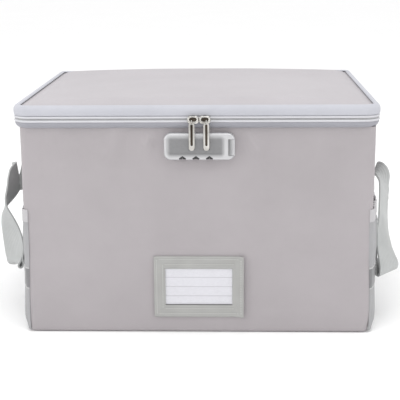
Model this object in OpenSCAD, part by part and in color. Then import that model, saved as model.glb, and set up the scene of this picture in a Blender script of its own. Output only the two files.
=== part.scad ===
// Portable file box: a fabric-covered board box with a zipped lid, a three-dial
// zip lock, a label holder, two side pockets and two webbing handles.
// Millimetres. The origin is the middle of the base, on the floor. The front,
// with the lock, faces -Y, +X is to the right and +Z is up.

/* [Box] */
// Outside width of the box body
body_w = 390; // [300:1:460]
// Outside depth of the box body, front to back
body_d = 320; // [260:1:400]
// Radius of the body's upright corners
body_corner_r = 7; // [6:0.5:12]
// Radius that turns the cover under the base
base_edge_r = 4; // [3:0.5:6]
// Thickness of the coated cloth
cloth_t = 1.2; // [1:0.1:1.6]
// Thickness of the stiffening boards
board_t = 3; // [2:0.5:5]
// Thickness of the lining
lining_t = 0.8; // [0.6:0.1:1.2]

/* [Lid and zip] */
// Height of the line where the two halves of the zip meet
zip_z = 248; // [220:1:280]
// How far the lid and the zip stand out past the body on every side
overhang = 7; // [6:0.5:10]
// Height of each half of the zip, from the meeting line to its seam
zip_half_h = 3.75; // [3.5:0.25:5]
// Open height between the two rows of zip coil
zip_gap = 1.2; // [1.1:0.1:1.6]
// Height of the flared band under the zip
lower_band_h = 6; // [4:0.5:10]
// Height of the binding round the lid's edge
lid_band_h = 11; // [10:0.5:14]
// How far the binding reaches in over the lid's top
binding_lip = 6; // [4:0.5:10]
// Radius of the lid's front corners
lid_front_r = 20; // [14:1:26]
// Radius of the lid's back corners
lid_back_r = 10; // [9:1:14]
// Height that the padded lid rises to in its middle
lid_crown = 4; // [0:0.5:8]
// Thickness of the lid's padding at its edge
padding_t = 4.4; // [3:0.1:6]

/* [Lock] */
// Place of the lock and the sliders along the front, from its middle
lock_x = 4; // [-40:1:40]
// Distance of the lock's middle below the zip
lock_drop = 30; // [29:1:40]
// Length of the lock housing
lock_w = 78; // [76:1:90]
// Height of the lock housing
lock_h = 30; // [29:1:34]
// How far the lock housing stands out
lock_depth = 9; // [9:0.25:11]
// Radius of the lock housing's corners
lock_corner_r = 8; // [6:0.5:10]
// Radius that rounds the lock housing's rim
lock_rim_r = 2.4; // [1.5:0.1:3]
// Radius of a number dial
dial_r = 3.8; // [3.4:0.1:3.9]
// Width of a number dial
dial_w = 5.8; // [4:0.1:7]
// Distance from one dial to the next
dial_pitch = 14.8; // [12:0.2:16]
// Radius of the shaft through the dials
shaft_r = 1.5; // [1:0.1:1.8]
// Length of the release button
button_len = 8; // [6:0.5:9]
// Height of the release button
button_h = 18; // [12:0.5:19]
// Travel of the release button
button_travel = 3; // [2:0.5:3.5]

/* [Sliders and pulls] */
// Length of a zip slider
slider_len = 12.6; // [10:0.2:16]
// Height of a zip slider's front plate
slider_h = 9.4; // [8:0.2:12]
// Thickness of a slider's front plate
slider_plate_t = 1.4; // [1:0.1:2]
// Distance of each pull from the line where the sliders meet
pull_x = 8; // [7:0.2:9]
// Width of a pull
pull_w = 6.3; // [5:0.1:8]
// Length of a pull, from its pin to its tip
pull_len = 35; // [28:0.5:36]
// Thickness of a pull
pull_t = 1.5; // [1.2:0.1:2]
// Angle that a pull turns by to lie in the lock
pull_press = 8; // [7:0.5:9]
// Radius of the pin that a pull hangs on
pin_r = 0.9; // [0.7:0.05:1.1]

/* [Label holder] */
// Place of the label holder along the front, from its middle
label_x = 2; // [-40:1:40]
// Height of the label holder's middle
label_z = 55; // [45:1:120]
// Outside width of the label holder
label_w = 102; // [90:1:130]
// Outside height of the label holder
label_h = 72; // [66:1:90]
// Width of the label holder's window
window_w = 76; // [60:1:80]
// Height of the label holder's window
window_h = 43; // [30:1:46]
// Width of the label holder's sewn edge
label_seam_w = 7; // [5:0.5:8]

/* [Pockets] */
// Height of the pocket's top edge
pocket_top = 141; // [120:1:170]
// Height of the pocket's elastic hem
hem_h = 14; // [10:1:20]
// How far the pocket stands off the wall in its middle
pocket_gap = 9; // [6:0.5:14]
// How far the pocket's side seams stay from the body's front and back
pocket_inset = 6; // [4:0.5:12]
// Height of the reflective tape's lower edge
tape_z = 47; // [30:1:60]
// Height of the reflective tape
tape_h = 26; // [20:1:30]

/* [Handles] */
// Width of the handle webbing
web_w = 36; // [30:1:40]
// Thickness of the handle webbing
web_t = 1.8; // [1.4:0.1:2.2]
// Height of the line where the sewn ends stop and the loop begins
handle_z = 86; // [80:1:100]
// Distance of each handle's front end from the body's front
handle_front = 55; // [45:1:70]
// Distance of each handle's back end from the body's back
handle_back = 40; // [30:1:60]
// Height of the sewn end of the webbing
end_patch_h = 36; // [24:1:38]

/* [Hanging rails] */
// Length of each rail for hanging folders
rail_len = 300; // [240:5:340]
// Height of each rail
rail_h = 15; // [12:1:16]
// Thickness of each rail
rail_t = 1.4; // [1:0.1:2]

/* [Fit] */
// Clearance round moving metal pieces
play = 0.3; // [0.25:0.05:0.35]
// Radial clearance of a pin or a shaft in its bore
bore_play = 0.06; // [0.03:0.01:0.09]
// Clearance between the slider and the zip
slider_play = 0.4; // [0.35:0.05:0.45]

/* [Hidden] */
$fn = 64;
eps = 0.01;
lock_z = zip_z - lock_drop;

lid_w = body_w + 2 * overhang;
lid_d = body_d + 2 * overhang;
front_y = -body_d / 2;
zip_bottom = zip_z - zip_half_h;
lid_bottom = zip_z + zip_half_h;
band_bottom = zip_bottom - lower_band_h;
lid_edge_top = lid_bottom + lid_band_h;
zip_end_y = lid_d / 2 - lid_back_r;

inner_w = body_w - 2 * (cloth_t + board_t + lining_t);
inner_d = body_d - 2 * (cloth_t + board_t + lining_t);
rim_cap_t = 1;
lid_gap = 1.2;
lid_lining_rise = 0.5;
bead_over_rim = 0.3;
board_top = lid_bottom + lid_lining_rise - lid_gap - bead_over_rim - rim_cap_t;

tape_reach = 3.4;
coil_t = 1.2;
coil_h = 0.9;

metal_gray = [0.76, 0.77, 0.79];
cloth_gray = [0.74, 0.71, 0.73];
trim_gray = [0.83, 0.83, 0.86];

// A profile swept round a rounded rectangle. The profile's x is 0 on the
// outer face and negative inwards, and its y is the height.
module sweep_round(w, d, front_r, back_r) {
    side_len = d - front_r - back_r;
    side_y = (front_r - back_r) / 2;
    for (side = [-1, 1])
        translate([side * w / 2, side_y, 0])
            rotate([0, 0, side > 0 ? 0 : 180])
                straight_run(side_len) children();
    translate([0, -d / 2, 0])
        rotate([0, 0, -90])
            straight_run(w - 2 * front_r) children();
    translate([0, d / 2, 0])
        rotate([0, 0, 90])
            straight_run(w - 2 * back_r) children();
    for (side = [-1, 1]) {
        translate([side * (w / 2 - front_r), front_r - d / 2, 0])
            rotate([0, 0, side > 0 ? -90 : 180])
                corner_run(front_r) children();
        translate([side * (w / 2 - back_r), d / 2 - back_r, 0])
            rotate([0, 0, side > 0 ? 0 : 90])
                corner_run(back_r) children();
    }
}

module straight_run(length) {
    rotate([90, 0, 0])
        linear_extrude(length, center = true)
            children();
}

module corner_run(r) {
    rotate_extrude(angle = 90)
        translate([r, 0])
            children();
}

// A flat plate with a rounded rectangle as its plan.
module round_plate(w, d, front_r, back_r, z0, z1) {
    translate([0, 0, z0])
        linear_extrude(z1 - z0)
            round_plan(w, d, front_r, back_r);
}

module round_plan(w, d, front_r, back_r) {
    translate([0, (front_r - back_r) / 2])
        square([w, d - front_r - back_r], center = true);
    translate([0, front_r / 2 - d / 2])
        square([w - 2 * front_r, front_r], center = true);
    translate([0, d / 2 - back_r / 2])
        square([w - 2 * back_r, back_r], center = true);
    for (side = [-1, 1]) {
        translate([side * (w / 2 - front_r), front_r - d / 2])
            circle(front_r);
        translate([side * (w / 2 - back_r), d / 2 - back_r])
            circle(back_r);
    }
}

// Places what is drawn flat, y up and z outwards, on the box's front.
module on_front(x, z) {
    translate([x, front_y, z])
        rotate([90, 0, 0])
            children();
}

// The covers: one piece of coated cloth for each wall and one for the base.
base_cover_h = base_edge_r;

module wall_shell() {
    difference() {
        round_plate(body_w, body_d, body_corner_r, body_corner_r, base_cover_h, band_bottom);
        round_plate(body_w - 2 * cloth_t, body_d - 2 * cloth_t, body_corner_r - cloth_t,
            body_corner_r - cloth_t, base_cover_h - 1, band_bottom + 1);
    }
}

cover_turn = 4;
seam_gap = 0.4;

module end_cover(side) {
    edge = body_d / 2 - body_corner_r - cover_turn;
    intersection() {
        wall_shell();
        translate([0, side * (edge + body_d / 2), body_w / 2])
            cube([2 * body_w, body_d, 2 * body_w], center = true);
    }
}

module side_cover(side) {
    edge = body_d / 2 - body_corner_r - cover_turn - seam_gap;
    intersection() {
        wall_shell();
        translate([side * body_w / 2, 0, body_w / 2])
            cube([body_w / 2, 2 * edge, 2 * body_w], center = true);
    }
}

module front_cover() {
    color(cloth_gray)
        difference() {
            end_cover(-1);
            lock_screw_holes();
        }
}

module back_cover() {
    color(cloth_gray) end_cover(1);
}

module left_cover() {
    color(cloth_gray) side_cover(-1);
}

module right_cover() {
    color(cloth_gray) side_cover(1);
}

module base_cover() {
    color(cloth_gray) {
        round_plate(body_w - 2 * body_corner_r, body_d - 2 * body_corner_r, eps, eps, 0, cloth_t);
        sweep_round(body_w, body_d, body_corner_r, body_corner_r)
            base_edge_profile();
    }
}

module base_edge_profile() {
    translate([-body_corner_r, 0])
        square([body_corner_r - base_edge_r, cloth_t]);
    translate([-base_edge_r, base_edge_r])
        intersection() {
            difference() {
                circle(base_edge_r);
                circle(base_edge_r - cloth_t);
            }
            translate([0, -base_edge_r])
                square(base_edge_r);
        }
}

// The boards that stiffen the walls and the base.
board_z0 = max(base_edge_r, cloth_t + board_t);

module wall_board(w, d, x, y) {
    translate([x - w / 2, y - d / 2, board_z0])
        cube([w, d, board_top - board_z0]);
}

module base_board() {
    side = 2 * max(base_edge_r, body_corner_r);
    color("tan")
        translate([side / 2 - body_w / 2, side / 2 - body_d / 2, cloth_t])
            cube([body_w - side, body_d - side, board_t]);
}

module front_board() {
    color("tan")
        difference() {
            wall_board(body_w - 2 * body_corner_r, board_t, 0, front_y + cloth_t + board_t / 2);
            lock_screw_holes();
        }
}

module back_board() {
    color("tan")
        wall_board(body_w - 2 * body_corner_r, board_t, 0, -front_y - cloth_t - board_t / 2);
}

module left_board() {
    color("tan")
        wall_board(board_t, body_d - 2 * body_corner_r, cloth_t + board_t / 2 - body_w / 2, 0);
}

module right_board() {
    color("tan")
        wall_board(board_t, body_d - 2 * body_corner_r, body_w / 2 - cloth_t - board_t / 2, 0);
}

// The lining: an open tub of thin cloth inside the boards.
module lining() {
    w = inner_w + 2 * lining_t;
    d = inner_d + 2 * lining_t;
    color("gainsboro")
        difference() {
            translate([-w / 2, -d / 2, board_z0])
                cube([w, d, board_top - board_z0]);
            translate([-inner_w / 2, -inner_d / 2, board_z0 + lining_t])
                cube([inner_w, inner_d, board_top]);
            lock_screw_holes();
        }
}

// The binding that closes the top edge of the walls.
binding_skirt = 7;

module rim_binding() {
    reach = board_t + lining_t + 2 * rim_leg_t;
    color(trim_gray)
        sweep_round(body_w - 2 * (cloth_t - rim_leg_t), body_d - 2 * (cloth_t - rim_leg_t),
                body_corner_r, body_corner_r) {
            union() {
                translate([-reach + rim_leg_t, board_top])
                    square([reach - rim_leg_t, rim_cap_t]);
                translate([-rim_leg_t, board_top - binding_skirt])
                    square([rim_leg_t, binding_skirt + eps]);
            }
        }
}
rim_leg_t = 0.8;

// The rails that hanging folders hook over, riveted inside the front and back.
rail_bead_r = 1.5;
rivet_r = 2;
rivet_spacing = rail_len / 4;

module rail(side) {
    y = side * (inner_d / 2 - rail_t / 2);
    top = board_top + rim_cap_t + bead_over_rim - rail_bead_r;
    color("lightgray") {
        translate([-rail_len / 2, y - rail_t / 2, top - rail_h])
            cube([rail_len, rail_t, rail_h]);
        translate([-rail_len / 2, y - side * (rail_bead_r - rail_t / 2), top])
            rotate([0, 90, 0])
                cylinder(r = rail_bead_r, h = rail_len);
    }
}

module front_rail() {
    rail(-1);
}

module back_rail() {
    rail(1);
}

module rail_rivets() {
    z = board_top - rail_h * 0.6;
    color(metal_gray)
        for (side = [-1, 1], i = [-1.5:1:1.5])
            translate([i * rivet_spacing, side * (inner_d / 2 - rail_t), z])
                rotate([side * 90, 0, 0])
                    cylinder(r = rivet_r, h = 0.8);
}

// The zip: a flared band, two taped beads, two rows of coil and the cloth hinge.
module zip_side(front) {
    half = 2 * lid_w;
    intersection() {
        children();
        translate([-half / 2, front ? zip_end_y - half : zip_end_y, 0])
            cube([half, half, half]);
    }
}

module lid_sweep() {
    sweep_round(lid_w, lid_d, lid_front_r, lid_back_r)
        children();
}

module lower_band() {
    color(trim_gray)
        lid_sweep()
            polygon([
                [-overhang, band_bottom], [0, zip_bottom],
                [-cloth_t - 0.4, zip_bottom], [-overhang - cloth_t, band_bottom]
            ]);
}

module zip_bead(z0, z1) {
    r = (z1 - z0) / 2;
    translate([-r, z0 + r])
        circle(r);
    translate([-tape_reach, z0])
        square([tape_reach - r, z1 - z0]);
}

tape_top = zip_z - zip_gap / 2 - coil_h * 0.5;

module lower_zip_tape() {
    color(trim_gray)
        zip_side(true) lid_sweep() zip_bead(zip_bottom, tape_top);
}

module upper_zip_tape() {
    color(trim_gray)
        zip_side(true) lid_sweep() zip_bead(2 * zip_z - tape_top, lid_bottom);
}

module coil_profile(z0, z1) {
    translate([-tape_reach * 0.75, z0])
        square([coil_t, z1 - z0]);
}

module lower_zip_coil() {
    color("lightgray")
        zip_side(true) lid_sweep() coil_profile(tape_top, zip_z - zip_gap / 2);
}

module upper_zip_coil() {
    color("lightgray")
        zip_side(true) lid_sweep() coil_profile(zip_z + zip_gap / 2, 2 * zip_z - tape_top);
}

module lower_hinge_strip() {
    color(trim_gray)
        zip_side(false) lid_sweep()
            translate([-cloth_t, zip_bottom])
                square([cloth_t, zip_half_h - play]);
}

module upper_hinge_strip() {
    color(trim_gray)
        zip_side(false) lid_sweep()
            translate([-cloth_t, zip_z + play])
                square([cloth_t, zip_half_h - play]);
}

end_tab_len = 16;
end_tab_t = 1;

module zip_end_tabs() {
    color(trim_gray)
        for (side = [-1, 1])
            translate([side * (lid_w / 2 + end_tab_t / 2 + play / 3), zip_end_y - end_tab_len / 2,
                    zip_z - play])
                translate([-end_tab_t / 2, -end_tab_len / 2, -zip_half_h])
                    cube([end_tab_t, end_tab_len, zip_half_h]);
}

// The lid: binding, cover, padding, board and lining.
binding_t = 1.4;
lid_core_w = lid_w - 2 * binding_t;
lid_core_d = lid_d - 2 * binding_t;
lid_core_front_r = lid_front_r - binding_t;
lid_core_back_r = lid_back_r - binding_t;
lid_lining_z = lid_bottom + lid_lining_rise;
lid_board_z = lid_lining_z + lining_t;
padding_z = lid_board_z + board_t;
cover_z = padding_z + padding_t;

module lid_binding() {
    edge_r = 3.2;
    lip_z = max(cover_z + cloth_t, lid_edge_top - binding_t);
    top = lip_z + binding_t;
    color(trim_gray)
        lid_sweep() {
            difference() {
                union() {
                    translate([-binding_t, lid_bottom])
                        square([binding_t, top - edge_r - lid_bottom]);
                    translate([-edge_r, top - edge_r])
                        circle(edge_r);
                    translate([-binding_lip, lip_z])
                        square([binding_lip - edge_r, binding_t]);
                }
                translate([-2 * edge_r - eps, top - 2 * edge_r - eps])
                    square([2 * edge_r - binding_t + eps, 2 * edge_r - binding_t + eps]);
            }
        }
}

// A padded panel: rings of points that shrink towards the middle, where the
// top has risen by the crown. Underneath, it is flat or follows the top.
corner_steps = 4;
ring_sizes = [1, 1 - 2 * (binding_lip + 1.5) / lid_core_d, 0.8, 0.55, 0.3];
ring_steps = len(ring_sizes);

function corner_points(cx, cy, r, start) = [
    for (i = [0:corner_steps])
        let (a = start + 90 * i / corner_steps)
            [cx + r * cos(a), cy + r * sin(a)]
];

function edge_points(a, b) = [
    for (i = [1:3]) a + (b - a) * i / 4
];

function plan_outline(w, d, front_r, back_r) =
    let (
        back_right = corner_points(w / 2 - back_r, d / 2 - back_r, back_r, 0),
        back_left = corner_points(back_r - w / 2, d / 2 - back_r, back_r, 90),
        front_left = corner_points(front_r - w / 2, front_r - d / 2, front_r, 180),
        front_right = corner_points(w / 2 - front_r, front_r - d / 2, front_r, 270)
    )
    concat(
        back_right, edge_points(back_right[corner_steps], back_left[0]),
        back_left, edge_points(back_left[corner_steps], front_left[0]),
        front_left, edge_points(front_left[corner_steps], front_right[0]),
        front_right, edge_points(front_right[corner_steps], back_right[0])
    );

function crown_at(p, w, d) =
    let (u = 2 * p[0] / (w * ring_sizes[1]), v = 2 * p[1] / (d * ring_sizes[1]))
        lid_crown * max(0, 1 - u * u) * max(0, 1 - v * v);

module crowned_panel(w, d, front_r, back_r, z0, z1, follow) {
    outline = plan_outline(w, d, front_r, back_r);
    n = len(outline);
    top = [
        for (k = [0:ring_steps - 1], p = outline)
            let (q = p * ring_sizes[k])
                [q[0], q[1], z1 + crown_at(q, w, d)]
    ];
    bottom = [
        for (k = [0:ring_steps - 1], p = outline)
            let (q = p * ring_sizes[k])
                [q[0], q[1], z0 + (follow ? crown_at(q, w, d) : 0)]
    ];
    centres = [[0, 0, z1 + lid_crown], [0, 0, z0 + (follow ? lid_crown : 0)]];
    base = ring_steps * n;
    top_centre = 2 * base;
    faces = concat(
        [for (k = [0:ring_steps - 2], i = [0:n - 1])
            let (j = (i + 1) % n, a = k * n, b = (k + 1) * n)
                each [[a + i, b + i, a + j], [a + j, b + i, b + j]]],
        [for (i = [0:n - 1])
            let (j = (i + 1) % n, a = (ring_steps - 1) * n)
                [a + i, top_centre, a + j]],
        [for (k = [0:ring_steps - 2], i = [0:n - 1])
            let (j = (i + 1) % n, a = base + k * n, b = base + (k + 1) * n)
                each [[a + i, a + j, b + i], [a + j, b + j, b + i]]],
        [for (i = [0:n - 1])
            let (j = (i + 1) % n, a = base + (ring_steps - 1) * n)
                [a + i, a + j, top_centre + 1]],
        [for (i = [0:n - 1])
            let (j = (i + 1) % n)
                each [[i, j, base + i], [j, base + j, base + i]]]
    );
    polyhedron(concat(top, bottom, centres), faces);
}

module lid_cover() {
    color(cloth_gray)
        crowned_panel(lid_core_w, lid_core_d, lid_core_front_r, lid_core_back_r,
            cover_z, cover_z + cloth_t, true);
}

module lid_padding() {
    color("whitesmoke")
        crowned_panel(lid_core_w, lid_core_d, lid_core_front_r, lid_core_back_r,
            padding_z, cover_z, false);
}

module lid_board() {
    color("tan")
        round_plate(lid_core_w, lid_core_d, lid_core_front_r, lid_core_back_r,
            lid_board_z, padding_z);
}

module lid_lining() {
    color("gainsboro")
        round_plate(lid_core_w, lid_core_d, lid_core_front_r, lid_core_back_r,
            lid_lining_z, lid_board_z);
}

// The two sliders: a front plate, a thin post through the zip, a back plate,
// and two ears that hold the pin of the pull.
ear_t = 1.1;
ear_r = 1.9;
head_w = 3.6;
post_t = zip_gap - 2 * play;
post_len = 4.5;
nose_gap = 0.3;
plate_y = front_y - overhang - slider_play;
pin_z = zip_z + 1.5;
peg_len = 2.5;
pin_y = front_y - lock_depth - play - peg_len - pull_t / 2;
slider_x = (slider_len + nose_gap) / 2;

module slider(side) {
    x0 = lock_x + side * slider_x;
    ear_x = lock_x + side * pull_x;
    back_y = front_y - overhang + tape_reach + slider_play;
    color(metal_gray) {
        translate([x0, plate_y, zip_z])
            rotate([90, 0, 0])
                linear_extrude(slider_plate_t)
                    slider_outline(side);
        translate([x0, back_y + 1, zip_z])
            rotate([90, 0, 0])
                linear_extrude(1)
                    square([slider_len - 2, 2 * zip_half_h - 1], center = true);
        translate([x0 - side * (slider_len / 2 - 1.2) - (side > 0 ? 0 : post_len),
                plate_y - slider_plate_t / 2, zip_z - post_t / 2])
            cube([post_len, back_y - plate_y + slider_plate_t / 2 + 0.5, post_t]);
        for (end = [-1, 1])
            translate([ear_x + end * (head_w + ear_t + 2 * play) / 2 - ear_t / 2, 0, 0])
                slider_ear();
        translate([ear_x - head_w / 2 - play - ear_t, pin_y, pin_z])
            rotate([0, 90, 0])
                cylinder(r = pin_r, h = head_w + 2 * play + 2 * ear_t);
    }
}

module slider_outline(side) {
    tail_r = 2.2;
    nose_cut = 2.4;
    difference() {
        union() {
            square([slider_len - 2 * tail_r, slider_h], center = true);
            square([slider_len, slider_h - 2 * tail_r], center = true);
            for (x = [-1, 1], y = [-1, 1])
                translate([x * (slider_len / 2 - tail_r), y * (slider_h / 2 - tail_r)])
                    circle(tail_r);
        }
        translate([-side * slider_len / 2, 0])
            for (end = [-1, 1])
                translate([0, end * slider_h / 2])
                    circle(nose_cut);
    }
}

module slider_ear() {
    rotate([90, 0, 90])
        linear_extrude(ear_t)
            union() {
                translate([pin_y, pin_z])
                    circle(ear_r);
                translate([pin_y, pin_z - ear_r])
                    square([plate_y - pin_y, 2 * ear_r]);
            }
}

module left_slider() {
    slider(-1);
}

module right_slider() {
    slider(1);
}

// The pulls: a head on the pin, a slotted frame, and a tip whose peg goes
// into the lock.
tip_h = 6.5;
peg_r = 1.2;
slot_w = 2.6;
peg_drop = pull_len - tip_h / 2;
frame_top = 4;

module pull(side) {
    x = lock_x + side * pull_x;
    color(metal_gray)
        translate([x, pin_y, pin_z])
            difference() {
                union() {
                    rotate([0, 90, 0])
                        cylinder(r = ear_r, h = head_w, center = true);
                    translate([-head_w / 2, -pull_t / 2, -frame_top - 1])
                        cube([head_w, pull_t, frame_top + 1]);
                    translate([0, pull_t / 2, 0])
                        rotate([90, 0, 0])
                            linear_extrude(pull_t)
                                pull_outline();
                    translate([0, pull_t / 2, -peg_drop])
                        rotate([-90, 0, 0])
                            cylinder(r = peg_r, h = peg_len);
                }
                rotate([0, 90, 0])
                    cylinder(r = pin_r + bore_play, h = 2 * head_w, center = true);
            }
}

module pull_outline() {
    r = pull_w / 2;
    slot_bottom = pull_len - tip_h;
    difference() {
        union() {
            translate([-r, r - pull_len])
                square([pull_w, pull_len - frame_top - 2 * r]);
            translate([0, -frame_top - r])
                circle(r);
            translate([0, r - pull_len])
                circle(r);
        }
        translate([-slot_w / 2, -slot_bottom])
            square([slot_w, slot_bottom - frame_top - r]);
        translate([0, -frame_top - r])
            circle(slot_w / 2);
        translate([0, -slot_bottom])
            circle(slot_w / 2);
    }
}

module left_pull() {
    pull(-1);
}

module right_pull() {
    pull(1);
}

// The lock: a moulded housing with three dial slots along its lower edge, two
// sloping channels for the pulls and a pocket for the release button.
dial_clear_r = dial_r + play;
dial_y = dial_clear_r - lock_h / 2 + 0.2;
dial_z = lock_depth / 2;
button_x0 = lock_w / 2 - button_len;
button_y = -1;
button_z0 = 1.6;
bar_h = 4;
bar_t = 2.6;
bar_z = 3.6;
peg_y = pin_z - lock_z - peg_drop * cos(pull_press)
    + (peg_len + pull_t / 2) * sin(pull_press);
channel_w = pull_w + 2 * play;
window_r = 3.7;
bar_lead = 7;
bar_x0 = -pull_x - bar_lead;

function dial_x(i) = -dial_pitch * 1.25 + i * dial_pitch;

module lock_block() {
    r = lock_corner_r;
    translate([0, 0, lock_depth / 2])
        cube([lock_w - 2 * r, lock_h - 2 * r, lock_depth], center = true);
    sweep_round(lock_w, lock_h, r, r)
        lock_edge_profile();
}

module lock_edge_profile() {
    r = lock_rim_r;
    translate([-lock_corner_r, 0])
        square([lock_corner_r - r, lock_depth]);
    translate([-r - eps, 0])
        square([r + eps, lock_depth - r]);
    translate([-r, lock_depth - r])
        circle(r);
}

module lock_housing() {
    color(metal_gray)
        on_front(lock_x, lock_z)
            difference() {
                lock_block();
                face_recess();
                for (i = [0:2])
                    dial_slot(dial_x(i));
                shaft_bore();
                button_pocket();
                bar_channel();
                for (side = [-1, 1])
                    pull_channel(side);
                end_chamfers();
                for (p = screw_places)
                    translate([p[0], p[1], -1])
                        cylinder(r = screw_r, h = 1 + screw_bite);
            }
}

module face_recess() {
    rim = 3;
    depth = 0.5;
    r = lock_corner_r - rim;
    translate([-lock_w / 2 + rim, 4 + rim - lock_h / 2, lock_depth - depth])
        translate([(button_x0 + lock_w / 2 - 2 * rim) / 2, (lock_h - 2 * rim - 4) / 2, 0])
            linear_extrude(2 * depth)
                round_plan(button_x0 + lock_w / 2 - 2 * rim, lock_h - 2 * rim - 4, r, r);
}

module dial_slot(x) {
    translate([x - dial_w / 2 - play, dial_y, dial_z])
        rotate([0, 90, 0])
            cylinder(r = dial_clear_r, h = dial_w + 2 * play);
    translate([x - dial_w / 2 - play, -lock_h / 2 - 1, dial_z - dial_clear_r])
        cube([dial_w + 2 * play, dial_y + lock_h / 2 + 1, 2 * dial_clear_r]);
    translate([x, -lock_h / 2 - 0.2, -1])
        cylinder(r = window_r, h = lock_depth + 2);
}

module shaft_bore() {
    translate([dial_x(0) - dial_w - 2, dial_y, dial_z])
        rotate([0, 90, 0])
            cylinder(r = shaft_r, h = 2 * dial_pitch + 2 * dial_w + 4);
}

module button_pocket() {
    room = button_travel + play;
    translate([button_x0 - room, button_y - button_h / 2 - play, button_z0 - play])
        cube([button_len + room + 1, button_h + 2 * play, lock_depth]);
}

module bar_channel() {
    translate([bar_x0 - button_travel - play, peg_y - bar_h / 2 - play, bar_z - play])
        cube([button_x0 - bar_x0 + button_travel, bar_h + 2 * play, bar_t + 2 * play]);
    translate([button_x0 - button_travel - play - spring_len, spring_y, bar_z + bar_t / 2])
        rotate([0, 90, 0])
            cylinder(r = spring_r + play, h = spring_len + 1);
}

// The swept room of a pull pressed home, and the hole for its peg.
module pull_channel(side) {
    pin_up = pin_z - lock_z;
    pin_out = front_y - pin_y;
    translate([side * pull_x, pin_up, pin_out])
        rotate([pull_press, 0, 0]) {
            translate([-channel_w / 2, -pull_len - play, -pull_t / 2 - play])
                cube([channel_w, pull_len, lock_depth]);
            translate([0, -peg_drop, -pull_t / 2 - peg_len - 2 * play])
                cylinder(r = peg_r + play + 0.5, h = peg_len + 2 * play);
        }
}

module end_chamfers() {
    cut = 5;
    for (end = [-1, 1])
        translate([lock_w / 2, end * lock_h / 2, lock_depth / 2])
            rotate([0, 0, end * 45])
                cube([cut, 3 * cut, 2 * lock_depth], center = true);
}

// A plate inside the wall, and the screws that draw the housing against it.
wall_t = cloth_t + board_t + lining_t;
back_plate_t = 1.2;
screw_r = 1.4;
screw_bite = 3;
screw_head_r = 2.8;
screw_head_t = 1.2;
screw_places = [[-33, 0], [-8, 9], [8, 9], [24, 9]];

module lock_screw_holes() {
    on_front(lock_x, lock_z)
        for (p = screw_places)
            translate([p[0], p[1], -2 * wall_t])
                cylinder(r = screw_r, h = 2 * wall_t + 1);
}

module lock_back_plate() {
    margin = 3;
    color(metal_gray)
        difference() {
            on_front(lock_x, lock_z)
                translate([0, 0, -wall_t - back_plate_t])
                    linear_extrude(back_plate_t)
                        round_plan(lock_w - 2 * margin, lock_h - 2 * margin,
                            lock_corner_r - margin, lock_corner_r - margin);
            lock_screw_holes();
        }
}

module lock_screws() {
    color("silver")
        on_front(lock_x, lock_z)
            for (p = screw_places)
                translate([p[0], p[1], -wall_t - back_plate_t]) {
                    translate([0, 0, -screw_head_t])
                        cylinder(r = screw_head_r, h = screw_head_t);
                    cylinder(r = screw_r, h = wall_t + back_plate_t + screw_bite);
                }
}

module dial_shaft() {
    color("silver")
        on_front(lock_x, lock_z)
            translate([dial_x(0) - dial_w - 1, dial_y, dial_z])
                rotate([0, 90, 0])
                    cylinder(r = shaft_r, h = 2 * dial_pitch + 2 * dial_w + 2);
}

// A dial: ten finger grooves between ten number faces.
module dial(i) {
    color("dimgray")
        on_front(lock_x, lock_z)
            translate([dial_x(i) - dial_w / 2, dial_y, dial_z])
                rotate([0, 90, 0])
                    difference() {
                        cylinder(r = dial_r, h = dial_w);
                        translate([0, 0, -1])
                            cylinder(r = shaft_r + bore_play, h = dial_w + 2);
                        for (a = [0:36:359])
                            rotate([0, 0, a])
                                translate([dial_r + 0.1, 0, -1])
                                    cylinder(r = 0.5, h = dial_w + 2, $fn = 24);
                    }
}

module dial_1() {
    dial(0);
}

module dial_2() {
    dial(1);
}

module dial_3() {
    dial(2);
}

// The release button with its ribbed thumb face, and the bar that it pushes.
module release_button() {
    rib = 0.5;
    color(metal_gray)
        on_front(lock_x, lock_z)
            difference() {
                translate([button_x0, button_y - button_h / 2, button_z0])
                    cube([button_len, button_h, lock_depth - button_z0 - 0.4]);
                for (i = [0:3])
                    translate([button_x0 + 1.4 + i * 1.5, button_y - button_h, lock_depth - 0.4])
                        rotate([-90, 0, 0])
                            cylinder(r = rib, h = 2 * button_h, $fn = 24);
                translate([lock_w / 2, 0, lock_depth])
                    rotate([0, 45, 0])
                        cube([2, 2 * button_h, 2], center = true);
            }
}

module catch_bar() {
    color("silver")
        on_front(lock_x, lock_z)
            difference() {
                translate([bar_x0, peg_y - bar_h / 2, bar_z])
                    cube([button_x0 - bar_x0, bar_h, bar_t]);
                for (side = [-1, 1])
                    translate([side * pull_x, peg_y, bar_z - 1])
                        linear_extrude(bar_t + 2)
                            catch_window();
            }
}

module catch_window() {
    r = 1.65;
    circle(r);
    translate([button_travel, 0])
        circle(r);
    translate([0, -r])
        square([button_travel, 2 * r]);
}

spring_r = 1.8;
spring_len = 9;
spring_y = 5.4;
spring_wire = 0.5;

module button_spring() {
    color("silver")
        on_front(lock_x, lock_z)
            translate([button_x0 - button_travel - play - spring_len, spring_y, bar_z + bar_t / 2])
                rotate([0, 90, 0])
                    difference() {
                        cylinder(r = spring_r, h = spring_len + button_travel + play);
                        translate([0, 0, -1])
                            cylinder(r = spring_r - spring_wire, h = spring_len + button_travel + 3);
                    }
}

// The label holder: a leather-look frame sewn on three sides, open on the right.
channel_t = 1.2;
frame_t = 1.3;
film_t = 0.3;
card_t = 0.5;

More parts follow.
